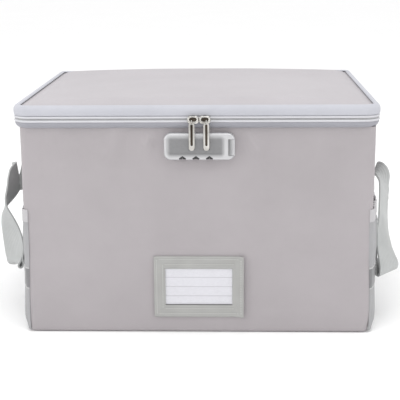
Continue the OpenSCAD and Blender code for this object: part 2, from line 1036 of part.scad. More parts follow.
module label_frame() {
    color("darkgray")
        on_front(label_x, label_z) {
            difference() {
                translate([0, 0, channel_t])
                    linear_extrude(frame_t)
                        round_plan(label_w, label_h, 2.5, 2.5);
                cube([window_w, window_h, 4 * (channel_t + frame_t)], center = true);
            }
            difference() {
                linear_extrude(channel_t)
                    round_plan(label_w, label_h, 2.5, 2.5);
                translate([label_seam_w - label_w / 2, label_seam_w - label_h / 2, -1])
                    cube([label_w, label_h - 2 * label_seam_w, channel_t + 2]);
            }
        }
}

module label_window() {
    color([0.9, 0.95, 1, 0.4])
        on_front(label_x, label_z)
            translate([-window_w / 2, -window_h / 2, channel_t])
                cube([window_w, window_h, film_t]);
}

module label_card() {
    gap = 0.4;
    w = label_w - label_seam_w - gap - 2;
    h = label_h - 2 * label_seam_w - 2 * gap;
    color("white")
        on_front(label_x, label_z)
            translate([label_seam_w + gap - label_w / 2, -h / 2, (channel_t - card_t) / 2])
                cube([w, h, card_t]);
}

// Sewn cloth on the side walls. The pocket bows off the wall between its
// seams, and the hem, the tape and the handle ends lie on the same bow.
pocket_d = body_d - 2 * pocket_inset;
pocket_base = 2.5;
pocket_round = 12;
panel_t = 1;
hem_t = 1.6;
hem_folds = 18;
hem_wave = 0.9;

function bow(y) = pocket_gap * (1 - pow(min(1, abs(2 * y / pocket_d)), 8));

function rise(z) =
    z > pocket_base + pocket_round ? 1
        : sin(90 * max(0, z - pocket_base) / pocket_round);

function steps(a, b, n) = [for (i = [0:n]) a + (b - a) * i / n];

function eased(a, b, n) = [
    for (i = [0:n])
        let (u = 2 * i / n - 1, s = sign(u) * (1 - pow(1 - abs(u), 1.7)))
            (a + b) / 2 + s * (b - a) / 2
];

function sheet_point(y, z, off, wave) =
    [body_w / 2 + bow(y) * rise(z) + off + wave * sin(360 * hem_folds * y / pocket_d), y, z];

module wall_sheet(ys, zs, off, thick, wave = 0) {
    ny = len(ys);
    nz = len(zs);
    inner = [for (z = zs, y = ys) sheet_point(y, z, off, wave * bow(y) / pocket_gap)];
    outer = [for (z = zs, y = ys) sheet_point(y, z, off + thick, wave * bow(y) / pocket_gap)];
    o = ny * nz;
    last = (nz - 1) * ny;
    faces = concat(
        [for (j = [0:nz - 2], i = [0:ny - 2])
            let (a = j * ny + i, b = a + ny)
                each [[o + a, o + b, o + b + 1], [o + a, o + b + 1, o + a + 1],
                    [a, a + 1, b + 1], [a, b + 1, b]]],
        [for (i = [0:ny - 2])
            each [[i, o + i, o + i + 1], [i, o + i + 1, i + 1],
                [last + i, last + i + 1, o + last + i + 1], [last + i, o + last + i + 1, o + last + i]]],
        [for (j = [0:nz - 2])
            let (a = j * ny, b = a + ny, c = a + ny - 1, d = b + ny - 1)
                each [[a, b, o + b], [a, o + b, o + a], [c, o + c, o + d], [c, o + d, d]]]
    );
    polyhedron(concat(inner, outer), faces);
}

module at_side(side) {
    if (side > 0)
        children();
    else
        mirror([1, 0, 0])
            children();
}

pocket_columns = eased(-pocket_d / 2, pocket_d / 2, 24);

module pocket(side) {
    bend = steps(pocket_base, pocket_base + pocket_round, 4);
    color(cloth_gray)
        at_side(side)
            wall_sheet(pocket_columns, concat(bend, [tape_z, pocket_top - hem_h]), 0, panel_t);
}

module left_pocket() {
    pocket(-1);
}

module right_pocket() {
    pocket(1);
}

module hem(side) {
    color(trim_gray)
        at_side(side)
            wall_sheet(steps(-pocket_d / 2, pocket_d / 2, 6 * hem_folds),
                steps(pocket_top - hem_h, pocket_top, 1), 0, hem_t, hem_wave);
}

module left_hem() {
    hem(-1);
}

module right_hem() {
    hem(1);
}

tape_t = 0.5;

module tape(side) {
    color("gray")
        at_side(side)
            wall_sheet(pocket_columns, steps(tape_z, tape_z + tape_h, 1), panel_t, tape_t);
}

module left_tape() {
    tape(-1);
}

module right_tape() {
    tape(1);
}

// The handles: webbing sewn flat at both ends, with a loop between that hangs
// down from its stitching, turns outwards and rises off the wall.
front_end_y = handle_front - body_d / 2;
back_end_y = body_d / 2 - handle_back;
patch_off = panel_t + 0.15;

module handle_ends(side) {
    color("silver")
        at_side(side)
            for (y = [front_end_y, back_end_y])
                wall_sheet(steps(y - web_w / 2, y + web_w / 2, 4),
                    steps(handle_z + play, handle_z + end_patch_h, 1), patch_off, web_t);
}

module left_handle_ends() {
    handle_ends(-1);
}

module right_handle_ends() {
    handle_ends(1);
}

// Each station is how far the webbing's middle stands off the pocket, its place
// along the side, its height above the sewn line, and the way its width lies.
// The places along the side stretch to fit between the two sewn ends.
left_route = [
    [1.4, -105, -1, 0, 1, 0],
    [1.4, -105, -11, 0, 1, 0],
    [4, -105.5, -18.5, 0, 1, -0.05],
    [10.5, -106, -21, 0, 1, -0.05],
    [16.5, -106, -19, -0.05, 0.99, -0.1],
    [17, -104, -11, -0.28, 0.9, -0.25],
    [16.5, -99, -1, -0.5, 0.79, -0.36],
    [18.2, -93, 9, -0.49, 0.76, -0.43],
    [21.9, -85, 18, -0.44, 0.76, -0.49],
    [25.6, -78, 27, -0.35, 0.77, -0.53],
    [27.1, -71, 36, -0.1, 0.81, -0.58],
    [25.2, -64, 46, 0.35, 0.81, -0.47],
    [24.4, -58, 56, 0.58, 0.72, -0.38],
    [23, -52, 65, 0.67, 0.68, -0.3],
    [19.5, -44, 71.5, 0.76, 0.6, -0.05],
    [15, -34, 73, 0.82, 0.4, 0.25],
    [12.5, -23, 71, 0.7, 0.35, 0.5],
    [12.5, -12, 67, 0.5, 0.45, 0.68],
    [14, -1, 61.5, 0.35, 0.5, 0.77],
    [16.5, 19, 50, 0.25, 0.53, 0.8],
    [19, 39, 38, 0.2, 0.55, 0.8],
    [21.5, 60, 26, 0.2, 0.57, 0.8],
    [24, 80, 13, 0.2, 0.57, 0.8],
    [24.5, 96, 2, 0.2, 0.62, 0.75],
    [22.5, 109, -9, 0.2, 0.75, 0.62],
    [14.5, 118, -17, 0.15, 0.93, 0.3],
    [5, 120, -16, 0.05, 1, 0.05],
    [1.4, 120, -8, 0, 1, 0],
    [1.4, 120, -1, 0, 1, 0]
];

right_route = [
    [1.4, -105, -1, 0, 1, 0],
    [1.8, -105, -13, 0, 1, 0],
    [6, -104, -24, 0.03, 1, 0.1],
    [16, -103, -28, 0, 1, 0],
    [26.5, -103, -26, 0.03, 0.99, -0.08],
    [27, -102, -16, 0.25, 0.96, -0.08],
    [21.5, -98, -6, 0.42, 0.9, -0.1],
    [16.5, -94, 3, 0.48, 0.86, -0.19],
    [14.3, -90, 12, 0.5, 0.79, -0.33],
    [13.8, -85, 22, 0.42, 0.75, -0.5],
    [14.3, -79, 32, 0.38, 0.69, -0.6],
    [15.4, -71, 41, 0.36, 0.66, -0.66],
    [16.4, -63, 49, 0.36, 0.61, -0.71],
    [17.3, -54, 56, 0.37, 0.56, -0.74],
    [18.1, -45, 62, 0.45, 0.51, -0.72],
    [18.4, -36, 67, 0.62, 0.45, -0.6],
    [17.5, -27, 71, 0.8, 0.4, -0.3],
    [15.5, -17, 71.5, 0.8, 0.42, 0.05],
    [14.5, -6, 70.5, 0.65, 0.45, 0.45],
    [14, 5, 66, 0.5, 0.48, 0.68],
    [14.5, 17, 60, 0.36, 0.5, 0.77],
    [16.5, 38, 47, 0.25, 0.53, 0.8],
    [18.3, 59, 32, 0.2, 0.55, 0.8],
    [21.5, 80, 18, 0.2, 0.57, 0.8],
    [24, 97, 4, 0.2, 0.62, 0.75],
    [22.5, 110, -9, 0.2, 0.75, 0.62],
    [14.5, 118, -17, 0.15, 0.93, 0.3],
    [5, 120, -16, 0.05, 1, 0.05],
    [1.4, 120, -8, 0, 1, 0],
    [1.4, 120, -1, 0, 1, 0]
];

route_steps = 2;

function spline(p, q, r, s, u) =
    0.5 * (2 * q + (r - p) * u + (2 * p - 5 * q + 4 * r - s) * u * u
        + (3 * q - p - 3 * r + s) * u * u * u);

function smooth(route) =
    let (n = len(route))
        concat(
            [for (i = [0:n - 2], k = [0:route_steps - 1])
                spline(route[max(0, i - 1)], route[i], route[i + 1], route[min(n - 1, i + 2)],
                    k / route_steps)],
            [route[n - 1]]
        );

function unit(v) = v / norm(v);

function between_ends(route, y) =
    let (first = route[0][1], last = route[len(route) - 1][1])
        front_end_y + (y - first) * (back_end_y - front_end_y) / (last - first);

module webbing(route) {
    s = smooth(route);
    n = len(s);
    mids = [
        for (p = s)
            [body_w / 2 + pocket_gap + panel_t + p[0], between_ends(route, p[1]), handle_z + p[2]]
    ];
    points = [
        for (i = [0:n - 1])
            let (
                along = unit(mids[min(n - 1, i + 1)] - mids[max(0, i - 1)]),
                lean = [s[i][3], s[i][4], s[i][5]],
                across = unit(lean - along * (lean * along)),
                out = cross(along, across),
                a = across * web_w / 2,
                b = out * web_t / 2
            )
                each [mids[i] - a - b, mids[i] + a - b, mids[i] + a + b, mids[i] - a + b]
    ];
    last = 4 * (n - 1);
    faces = concat(
        [for (i = [0:n - 2], k = [0:3])
            let (a = 4 * i + k, b = 4 * i + (k + 1) % 4)
                each [[a, a + 4, b + 4], [a, b + 4, b]]],
        [[0, 1, 2], [0, 2, 3], [last, last + 2, last + 1], [last, last + 3, last + 2]]
    );
    polyhedron(points, faces);
}

module left_handle() {
    color("silver") at_side(-1) webbing(left_route);
}

module right_handle() {
    color("silver") at_side(1) webbing(right_route);
}

base_cover();
front_cover();
back_cover();
left_cover();
right_cover();
base_board();
front_board();
back_board();
left_board();
right_board();
lining();
rim_binding();
front_rail();
back_rail();
rail_rivets();
lower_band();
lower_zip_tape();
lower_zip_coil();
lower_hinge_strip();
zip_end_tabs();
lid_board();
lid_padding();
lid_cover();
lid_lining();
lid_binding();
upper_zip_tape();
upper_zip_coil();
upper_hinge_strip();
left_slider();
right_slider();
left_pull();
right_pull();
lock_housing();
lock_back_plate();
lock_screws();
dial_shaft();
dial_1();
dial_2();
dial_3();
release_button();
catch_bar();
button_spring();
label_frame();
label_window();
label_card();
left_pocket();
right_pocket();
left_hem();
right_hem();
left_tape();
right_tape();
left_handle_ends();
right_handle_ends();
left_handle();
right_handle();
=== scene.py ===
"""The looks of the portable file box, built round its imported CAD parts."""

import math

import bmesh
import bpy
import numpy as np
from mathutils import Matrix, Vector, noise


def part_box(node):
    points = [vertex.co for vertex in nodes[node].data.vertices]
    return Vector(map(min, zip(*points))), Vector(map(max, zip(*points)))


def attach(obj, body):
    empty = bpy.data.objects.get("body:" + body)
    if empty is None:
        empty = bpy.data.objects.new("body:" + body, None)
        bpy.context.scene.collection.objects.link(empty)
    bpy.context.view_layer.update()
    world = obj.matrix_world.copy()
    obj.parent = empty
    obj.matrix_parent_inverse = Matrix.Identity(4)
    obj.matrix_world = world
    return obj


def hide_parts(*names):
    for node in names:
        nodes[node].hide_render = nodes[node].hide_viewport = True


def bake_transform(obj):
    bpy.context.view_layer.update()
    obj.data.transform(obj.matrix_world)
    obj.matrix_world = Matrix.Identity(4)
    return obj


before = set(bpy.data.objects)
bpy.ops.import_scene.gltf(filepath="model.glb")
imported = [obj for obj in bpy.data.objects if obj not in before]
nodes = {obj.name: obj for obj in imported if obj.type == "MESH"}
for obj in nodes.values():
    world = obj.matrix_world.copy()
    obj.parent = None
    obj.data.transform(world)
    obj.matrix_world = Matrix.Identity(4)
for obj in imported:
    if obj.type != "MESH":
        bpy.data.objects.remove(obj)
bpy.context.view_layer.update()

# The camera stands 1.3 m from the box, a little to its right, and looks down on it.
# Its place and its lens were worked out from the corners of the box in the photo.
pitch, yaw, roll = math.radians(13.72), math.radians(-2.04), math.radians(-0.49)
ahead = Vector((math.sin(yaw) * math.cos(pitch), math.cos(yaw) * math.cos(pitch), -math.sin(pitch)))
level_right = Vector((math.cos(yaw), -math.sin(yaw), 0.0))
level_up = level_right.cross(ahead)
camera_right = level_right * math.cos(roll) + level_up * math.sin(roll)
camera_up = level_up * math.cos(roll) - level_right * math.sin(roll)
camera_data = bpy.data.cameras.new("camera")
camera_data.sensor_width = 36.0
camera_data.lens = 93.24
camera = bpy.data.objects.new("camera", camera_data)
bpy.context.scene.collection.objects.link(camera)
camera_turn = Matrix((camera_right, camera_up, -ahead)).transposed().to_4x4()
camera.matrix_world = Matrix.Translation((0.044, -1.281, 0.430)) @ camera_turn
bpy.context.scene.camera = camera
bpy.context.scene.view_settings.view_transform = "Standard"


# The studio: a pale floor that runs out of sight, a bright even room, a wide soft
# light overhead and a smaller one on each side, which catch the folds in the cloth.
class Finish:
    """A node material while it is mixed. Its even values go straight on the shader."""

    def __init__(self, name, even):
        self.material = bpy.data.materials.new(name)
        self.material.use_nodes = True
        self.tree = self.material.node_tree
        self.shader = self.tree.nodes["Principled BSDF"]
        place = self.tree.nodes.new("ShaderNodeTexCoord")
        self.at, self.chart = place.outputs["Object"], place.outputs["UV"]
        for socket, value in even.items():
            self.shader.inputs[socket].default_value = value

    def add(self, kind, sockets, output=0, **settings):
        """Add a node and feed its sockets with values or with other nodes' outputs."""
        node = self.tree.nodes.new("ShaderNode" + kind)
        for setting, value in settings.items():
            setattr(node, setting, value)
        for socket, value in sockets.items():
            if isinstance(value, bpy.types.NodeSocket):
                self.tree.links.new(value, node.inputs[socket])
            else:
                node.inputs[socket].default_value = value
        return node.outputs[output]

    def feed(self, socket, source):
        self.tree.links.new(source, self.shader.inputs[socket])

    def noise(self, scale, detail=2.0, roughness=0.5):
        sockets = {"Vector": self.at, "Scale": scale, "Detail": detail, "Roughness": roughness}
        return self.add("TexNoise", sockets, "Fac")

    def tone(self, pattern, dark, light, low=0.3, high=0.7):
        """A colour between two, by the strength of a pattern."""
        shade = self.add("ValToRGB", {"Fac": pattern}, "Color")
        for end, place, colour in zip(shade.node.color_ramp.elements, (low, high), (dark, light)):
            end.position = place
            end.color = (*colour, 1)
        return shade

    def mottle(self, dark, light, scale, detail=2.0, low=0.3, high=0.7):
        """An uneven colour all over. Its pattern is given back, for a relief."""
        pattern = self.noise(scale, detail)
        self.feed("Base Color", self.tone(pattern, dark, light, low, high))
        return pattern

    def mix(self, share, first, second):
        return self.add("Mix", {"Factor": share, "A": first, "B": second}, "Result", data_type="RGBA")

    def calculate(self, operation, *values):
        return self.add("Math", dict(enumerate(values)), operation=operation)

    def along(self, axis, source=None):
        """How far along an axis a point is, in the object's places or in the map."""
        return self.add("SeparateXYZ", {"Vector": self.at if source is None else source}, axis)

    def relief(self, height, strength, depth):
        bump = {"Height": height, "Strength": strength, "Distance": depth}
        self.feed("Normal", self.add("Bump", bump, "Normal"))


def mottled(name, even, dark, light, scale, detail=2.0, low=0.3, high=0.7):
    """A plain finish of one uneven colour."""
    finish = Finish(name, even)
    finish.mottle(dark, light, scale, detail, low, high)
    return finish.material


def start_piece(name, add, **sizes):
    """A primitive, added on its own and named."""
    bpy.ops.object.select_all(action="DESELECT")
    add(**sizes)
    piece = bpy.context.object
    piece.name = name
    return piece


floor = start_piece("floor", bpy.ops.mesh.primitive_plane_add, size=12.0, location=(0.0, 3.0, -0.0005))
floor_paper = mottled("floor paper", {"Roughness": 0.9, "Specular IOR Level": 0.1},
                      (0.95,) * 3, (0.97,) * 3, 3.0, 2.0, 0.0, 1.0)
floor.data.materials.append(floor_paper)

room = bpy.data.worlds.new("room")
bpy.context.scene.world = room
room.use_nodes = True
room.node_tree.nodes["Background"].inputs["Color"].default_value = (1.0, 1.0, 1.0, 1)
room.node_tree.nodes["Background"].inputs["Strength"].default_value = 1.03

for lamp_name, lamp_place, lamp_size, lamp_power in (
    ("overhead", (0.1, -0.5, 1.9), 1.6, 13.0),
    ("left_side", (-1.5, -0.9, 0.8), 0.9, 6.0),
    ("right_side", (1.6, -0.9, 0.8), 0.9, 3.5),
):
    lamp_data = bpy.data.lights.new(lamp_name, "AREA")
    lamp_data.size = lamp_size
    lamp_data.energy = lamp_power
    lamp = bpy.data.objects.new(lamp_name, lamp_data)
    bpy.context.scene.collection.objects.link(lamp)
    lamp.location = lamp_place
    lamp.rotation_euler = (Vector((0, 0, 0.1)) - Vector(lamp_place)).to_track_quat("-Z", "Y").to_euler()


# The stiffening boards under the cloth: 3 mm grey board cut from sheets. They are
# hardly seen, only along their edges when a cover is lifted.
def dress(material, *names):
    """Give CAD pieces their finish."""
    for name in names:
        skin = nodes[name].data
        if not skin.materials:
            skin.materials.append(material)
        for place in nodes[name].material_slots:
            place.material = material


grey_board = mottled("grey board", {"Roughness": 0.95}, (0.19, 0.17, 0.14), (0.33, 0.30, 0.26),
                     900.0, 4.0, 0.0, 1.0)
boards = ("base_board", "front_board", "back_board", "left_board", "right_board")
dress(grey_board, *boards, "lid_board")


# The body's cover: a coated cloth, drawn over the boards and glued, so it lies
# flat round the fittings and stands in soft folds between them.
def start_cube(name, low, high):
    """A cube of this size and place, selected and ready to be shaped."""
    low, high = Vector(low), Vector(high)
    piece = start_piece(name, bpy.ops.mesh.primitive_cube_add, size=1.0, location=(low + high) / 2)
    piece.scale = high - low
    bpy.ops.object.transform_apply(location=True, rotation=True, scale=True)
    return piece


def edit(on):
    bpy.ops.object.mode_set(mode="EDIT" if on else "OBJECT")


def pick(kind, test):
    """Select what passes the test on the piece that is being edited."""
    bpy.ops.mesh.select_mode(type=kind)
    bpy.ops.mesh.select_all(action="DESELECT")
    mesh = bpy.context.edit_object.data
    shape = bmesh.from_edit_mesh(mesh)
    for part in {"VERT": shape.verts, "EDGE": shape.edges, "FACE": shape.faces}[kind]:
        part.select_set(bool(test(part)))
    bmesh.update_edit_mesh(mesh)


def upright(edge):
    run = edge.verts[1].co - edge.verts[0].co
    return abs(run.z) > 1e-5 and math.hypot(run.x, run.y) < 1e-5


def round_off(radius, segments, test):
    """Round the edges that pass the test."""
    pick("EDGE", test)
    bpy.ops.mesh.bevel(offset=radius, segments=segments, affect="EDGES")


def rounded_box(name, outline, low, high, segments, open_ends=()):
    """A box with rounded upright edges, left in edit mode. Its open ends are 1 for
    the top and -1 for the bottom."""
    half_w, half_d, front_r, back_r = outline
    piece = start_cube(name, (-half_w, -half_d, low), (half_w, half_d, high))
    edit(True)
    if open_ends:
        pick("FACE", lambda face: round(face.normal.z) in open_ends)
        bpy.ops.mesh.delete(type="ONLY_FACE")
    round_off(front_r, segments, lambda edge: upright(edge) and edge.verts[0].co.y < 0)
    round_off(back_r, segments, lambda edge: upright(edge) and edge.verts[0].co.y > 0)
    return piece


def cut_across(axis, places, keep=None):
    """Cut the edited piece by planes across an axis, and keep one side if told to."""
    for place in places:
        bpy.ops.mesh.select_all(action="SELECT")
        point, normal = [0.0] * 3, [0.0] * 3
        point[axis], normal[axis] = place, 1.0
        bpy.ops.mesh.bisect(plane_co=point, plane_no=normal,
                            clear_outer=keep == "below", clear_inner=keep == "above")


def even(low, high, step):
    """Places about a step apart, between two ends."""
    count = max(1, round((high - low) / step))
    return [low + (high - low) * i / count for i in range(1, count)]


def read(parts, key, kind=float, width=1):
    """What each part of a mesh holds: one number, or a row of them."""
    values = np.empty(len(parts) * width, dtype=kind)
    parts.foreach_get(key, values)
    return values.reshape(-1, width) if width > 1 else values


def points_of(piece):
    return read(piece.data.vertices, "co", width=3)


def set_points(piece, spots):
    piece.data.vertices.foreach_set("co", np.ascontiguousarray(spots, dtype=float).ravel())
    piece.data.update()


def corner_centre(spots, outline):
    """The middle of the rounding that a point of an outline belongs to. An outline is
    its half width, its half depth, and the radii of its front and back corners."""
    half_w, half_d, front_r, back_r = outline
    r = np.where(spots[:, 1] < 0, front_r, back_r)
    return np.clip(spots[:, 0], r - half_w, half_w - r), np.clip(spots[:, 1], r - half_d, half_d - r)


def outward(spots, outline):
    """The way out from a rounded outline, at points on or near it."""
    out = spots[:, :2] - np.stack(corner_centre(spots, outline), axis=1)
    return out / np.maximum(np.linalg.norm(out, axis=1), 1e-9)[:, None]


def run_round(spots, outline):
    """How far a point of the outline is from the middle of the front, along the edge."""
    half_w, half_d, front_r, back_r = outline
    x, y = np.abs(spots[:, 0]), spots[:, 1]
    cx, cy = corner_centre(spots, outline)
    turn = np.arctan2(np.abs(spots[:, 0] - cx), np.abs(y - cy) + 1e-12)
    quarter = math.pi / 2
    front = np.minimum(x, half_w - front_r) + front_r * turn
    side = half_w - front_r + front_r * quarter
    side = side + np.clip(y + half_d - front_r, 0, 2 * half_d - front_r - back_r)
    back = side + back_r * (quarter - turn) + np.maximum(half_w - back_r - x, 0)
    return np.where(y < front_r - half_d, front, np.where(y > half_d - back_r, back, side))


def lay_map(piece, place):
    """Give the piece a UV map in metres, from the places of its points."""
    mesh = piece.data
    at = points_of(piece)[read(mesh.loops, "vertex_index", np.int32)]
    counts = read(mesh.polygons, "loop_total", np.int32)
    middle = np.repeat(read(mesh.polygons, "center", width=3), counts, axis=0)
    normal = np.repeat(read(mesh.polygons, "normal", width=3), counts, axis=0)
    chart = mesh.uv_layers[0] if mesh.uv_layers else mesh.uv_layers.new(name="cut")
    chart.uv.foreach_set("vector", np.stack(place(at, middle, normal), axis=1).ravel())


def select_only(piece):
    bpy.ops.object.select_all(action="DESELECT")
    piece.select_set(True)
    bpy.context.view_layer.objects.active = piece


def smooth(piece, angle=60):
    select_only(piece)
    bpy.ops.object.shade_smooth_by_angle(angle=math.radians(angle))


def thicken(piece, thickness, angle=60, offset=-1.0):
    """Give a sheet its wall, inwards unless the offset says otherwise, and shade it."""
    wall = piece.modifiers.new("wall", "SOLIDIFY")
    wall.thickness = thickness
    wall.offset = offset
    select_only(piece)
    bpy.ops.object.modifier_apply(modifier=wall.name)
    smooth(piece, angle)


def finish_piece(piece, material, body, slot, *stands_for):
    """Give a new piece its finish and hide the CAD pieces that it stands for. The slot is not
    used. A piece that is blended between two bodies has no body of its own here."""
    piece.data.materials.clear()
    piece.data.materials.append(material)
    if body:
        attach(piece, body)
    if stands_for:
        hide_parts(*stands_for)


def bands(finish, across, pitch):
    """Even bands of thread, across the U or the V of the map."""
    sockets = {"Vector": finish.chart, "Scale": math.pi / (10.0 * pitch)}
    return finish.add("TexWave", sockets, "Fac", bands_direction=across)


def woven(name, dark, light, pitch, depth):
    """A plain weave: two sets of threads over and under, with uneven dye and painted shade where the
    threads go under.
    """
    cloth = Finish(name, {"Roughness": 0.85, "Sheen Weight": 0.1})
    swings = [cloth.calculate("MULTIPLY_ADD", bands(cloth, across, pitch), 2.0, -1.0) for across in "XY"]
    over = cloth.calculate("MULTIPLY", *swings)
    # Painted shade: the colour darkens where the threads dip under, mixed with the uneven dye.
    shade = cloth.calculate("MULTIPLY_ADD", over, 0.14, cloth.noise(9.0, 6.0, 0.62))
    cloth.feed("Base Color", cloth.tone(shade, dark, light, 0.25, 0.75))
    cloth.relief(over, 0.5, depth)
    return cloth.material


def near_segment(x, z, x0, z0, x1, z1):
    """How far points are from a line between two places, and how far along it."""
    dx, dz = x1 - x0, z1 - z0
    t = np.clip(((x - x0) * dx + (z - z0) * dz) / (dx * dx + dz * dz), 0, 1)
    return np.hypot(x - x0 - t * dx, z - z0 - t * dz), t


def ease(value, low, high):
    t = np.clip((value - low) / (high - low), 0, 1)
    return t * t * (3 - 2 * t)


def soft_noise(spots, size, seed):
    """Slow even noise at points, about -1 to 1."""
    shift = Vector((seed * 7.31, seed * 3.17, seed * 5.71))
    return np.array([noise.noise(Vector(p) / size + shift) for p in spots])


body_half_w, body_half_d, body_r, body_top, base_r = 0.195, 0.160, 0.007, 0.2383, 0.004
body_outline = (body_half_w, body_half_d, body_r, body_r)
# Each fold: where it starts and ends on the front, its half width, its height at
# the start and at the end.
front_folds = (
    (-0.0447, 0.2385, -0.0515, 0.2200, 0.0034, 0.0030, 0.0022),
    (-0.0500, 0.2230, -0.0600, 0.2080, 0.0050, 0.0022, 0.0004),
    (-0.0860, 0.2385, -0.0951, 0.2074, 0.0080, 0.0020, 0.0020),
    (-0.0951, 0.2074, -0.1090, 0.1720, 0.0110, 0.0020, 0.0003),
    (0.0485, 0.2400, 0.0705, 0.2127, 0.0052, 0.0024, 0.0022),
    (0.0705, 0.2127, 0.0830, 0.1720, 0.0075, 0.0020, 0.0003),
    (0.1360, 0.2385, 0.1390, 0.2080, 0.0060, 0.0007, 0.0003),
    (-0.1528, 0.2389, -0.1500, 0.2250, 0.0050, 0.0008, 0.0003),
    (-0.1753, 0.2360, -0.1806, 0.1154, 0.0060, 0.0008, 0.0006),
    (-0.1609, 0.2360, -0.1658, 0.1154, 0.0060, 0.0007, 0.0004),
)
# Where a fitting keeps the cloth flat, and how soon the folds begin round it: the
# lock, the label holder and the way of its card.
flat_areas = (
    ((-0.042, 0.050, 0.197, 0.2395), 0.012),
    ((-0.056, 0.060, 0.012, 0.098), 0.010),
    ((0.055, 0.143, 0.030, 0.092), 0.010),
)
right_swell = 0.0022  # the right wall's cloth stands further off its board


def from_area(x, z, area):
    """How far points of the front are from an area: its sides in X, then in Z."""
    out_x = np.maximum(np.maximum(area[0] - x, x - area[1]), 0)
    out_z = np.maximum(np.maximum(area[2] - z, z - area[3]), 0)
    return np.hypot(out_x, out_z)


def cloth_rise(spots):
    """How far the body's cloth stands off its boards."""
    x, y, z = spots.T
    on_front, low_on_side = y < -0.1515, (np.abs(x) > 0.1935) & (z < 0.15)
    rise = 0.0006 + 0.00045 * soft_noise(spots, 0.055, 1) + 0.00012 * soft_noise(spots, 0.017, 2)
    for x0, z0, x1, z1, half, high, low in front_folds:
        off, t = near_segment(x, z, x0, z0, x1, z1)
        fold = (high + (low - high) * t) * np.exp(-((off / half) ** 2))
        rise = rise + np.where(on_front, fold, 0)
    for area, reach in flat_areas:
        rise = rise * np.where(on_front, ease(from_area(x, z, area), 0.0, reach), 1.0)
    return np.maximum(rise * np.where(low_on_side, 0.35, 1.0), 0) * ease(z, base_r, 0.020)


body_cloth = rounded_box("body_cloth", body_outline, 0.0, body_top, 6, open_ends=(1,))
round_off(base_r, 4, lambda edge: all(v.co.z < 1e-6 for v in edge.verts)
          and any(face.normal.z > -0.5 for face in edge.link_faces))
cut_across(0, even(-0.188, 0.188, 0.0047))
cut_across(1, even(-0.153, 0.153, 0.0060))
cut_across(2, even(base_r, body_top, 0.0047))
edit(False)
spots = points_of(body_cloth)
way_out = outward(spots, body_outline)
wall = spots[:, 2] > base_r - 0.0001
rise = cloth_rise(spots) + right_swell * ease(way_out[:, 0], 0.0, 1.0) * ease(spots[:, 2], 0.002, 0.020)
spots[wall, :2] += (way_out * rise[:, None])[wall]
set_points(body_cloth, spots)


def wall_map(at, middle, normal):
    run = run_round(at, body_outline)
    on_base = normal[:, 2] < -0.9
    u = np.where(on_base, at[:, 0], np.where(middle[:, 0] < 0, -run, run))
    return u, np.where(on_base, at[:, 1], at[:, 2])


lay_map(body_cloth, wall_map)
thicken(body_cloth, 0.0011)
coated_cloth = woven("coated cloth", (0.338, 0.315, 0.325), (0.384, 0.357, 0.370), 0.0009, 0.00008)
finish_piece(body_cloth, coated_cloth, "box", "body_cloth",
             "base_cover", "front_cover", "back_cover", "left_cover", "right_cover")


# The lining, a thin woven cloth inside the boards, and the binding that folds over
# the top edge of the walls. Both are glued down.
lining_outline, lining_low, lining_top = (0.1907, 0.1557, 0.003, 0.003), 0.0043, 0.2498
lining_piece = rounded_box("lining_cloth", lining_outline, lining_low, lining_top, 4, open_ends=(1,))
cut_across(0, even(-0.187, 0.187, 0.011))
cut_across(1, even(-0.152, 0.152, 0.011))
cut_across(2, even(lining_low, lining_top, 0.011))
edit(False)
spots = points_of(lining_piece)
slack = 0.0005 * (0.5 + 0.5 * soft_noise(spots, 0.05, 7)) * (1 - ease(spots[:, 2], 0.19, 0.225))
on_wall = spots[:, 2] > lining_low + 0.0001
spots[on_wall, :2] -= (outward(spots, lining_outline) * np.clip(slack, 0, None)[:, None])[on_wall]
set_points(lining_piece, spots)
lay_map(lining_piece, lambda at, middle, normal: (
    np.where(np.abs(normal[:, 0]) > 0.7, at[:, 1], at[:, 0]),
    np.where(normal[:, 2] < -0.9, at[:, 1], at[:, 2])))
thicken(lining_piece, 0.0008)
lining_weave = woven("lining cloth", (0.33, 0.33, 0.35), (0.42, 0.42, 0.44), 0.0012, 0.00012)
finish_piece(lining_piece, lining_weave, "box", "lining", "lining")

row_step = 0.01  # how far apart a band's rows are, until its profile moves them


def merge_doubles():
    bpy.ops.mesh.select_all(action="SELECT")
    bpy.ops.mesh.remove_doubles(threshold=1e-6)


def round_band(name, outline, profile, step, segments=9, closed=False, keep=None):
    """A band that follows an outline. Its profile is a row of places, each the
    distance out from the outline and the height."""
    half_w, half_d, front_r, back_r = outline
    outs, heights = np.array(profile).T
    piece = rounded_box(name, outline, 0.0, row_step * (len(profile) - 1), segments, open_ends=(-1, 1))
    cut_across(0, even(front_r - half_w, half_w - front_r, step))
    if keep:
        cut_across(1, [half_d - back_r], keep)
    if keep != "above":
        cut_across(1, even(front_r - half_d, half_d - back_r, step))
    cut_across(2, [row_step * row for row in range(1, len(profile) - 1)])
    edit(False)
    length = np.concatenate([[0], np.cumsum(np.hypot(np.diff(outs), np.diff(heights)))])
    lay_map(piece, lambda at, middle, normal: (
        np.where(middle[:, 0] < 0, -1, 1) * run_round(at, outline),
        length[np.rint(at[:, 2] / row_step).astype(int)]))
    spots = points_of(piece)
    row = np.rint(spots[:, 2] / row_step).astype(int)
    spots[:, :2] += outward(spots, outline) * outs[row][:, None]
    spots[:, 2] = heights[row]
    set_points(piece, spots)
    if closed:
        edit(True)
        merge_doubles()
        pick("EDGE", lambda edge: len(edge.link_faces) == 1)
        bpy.ops.mesh.edge_face_add()
        edit(False)
    return piece


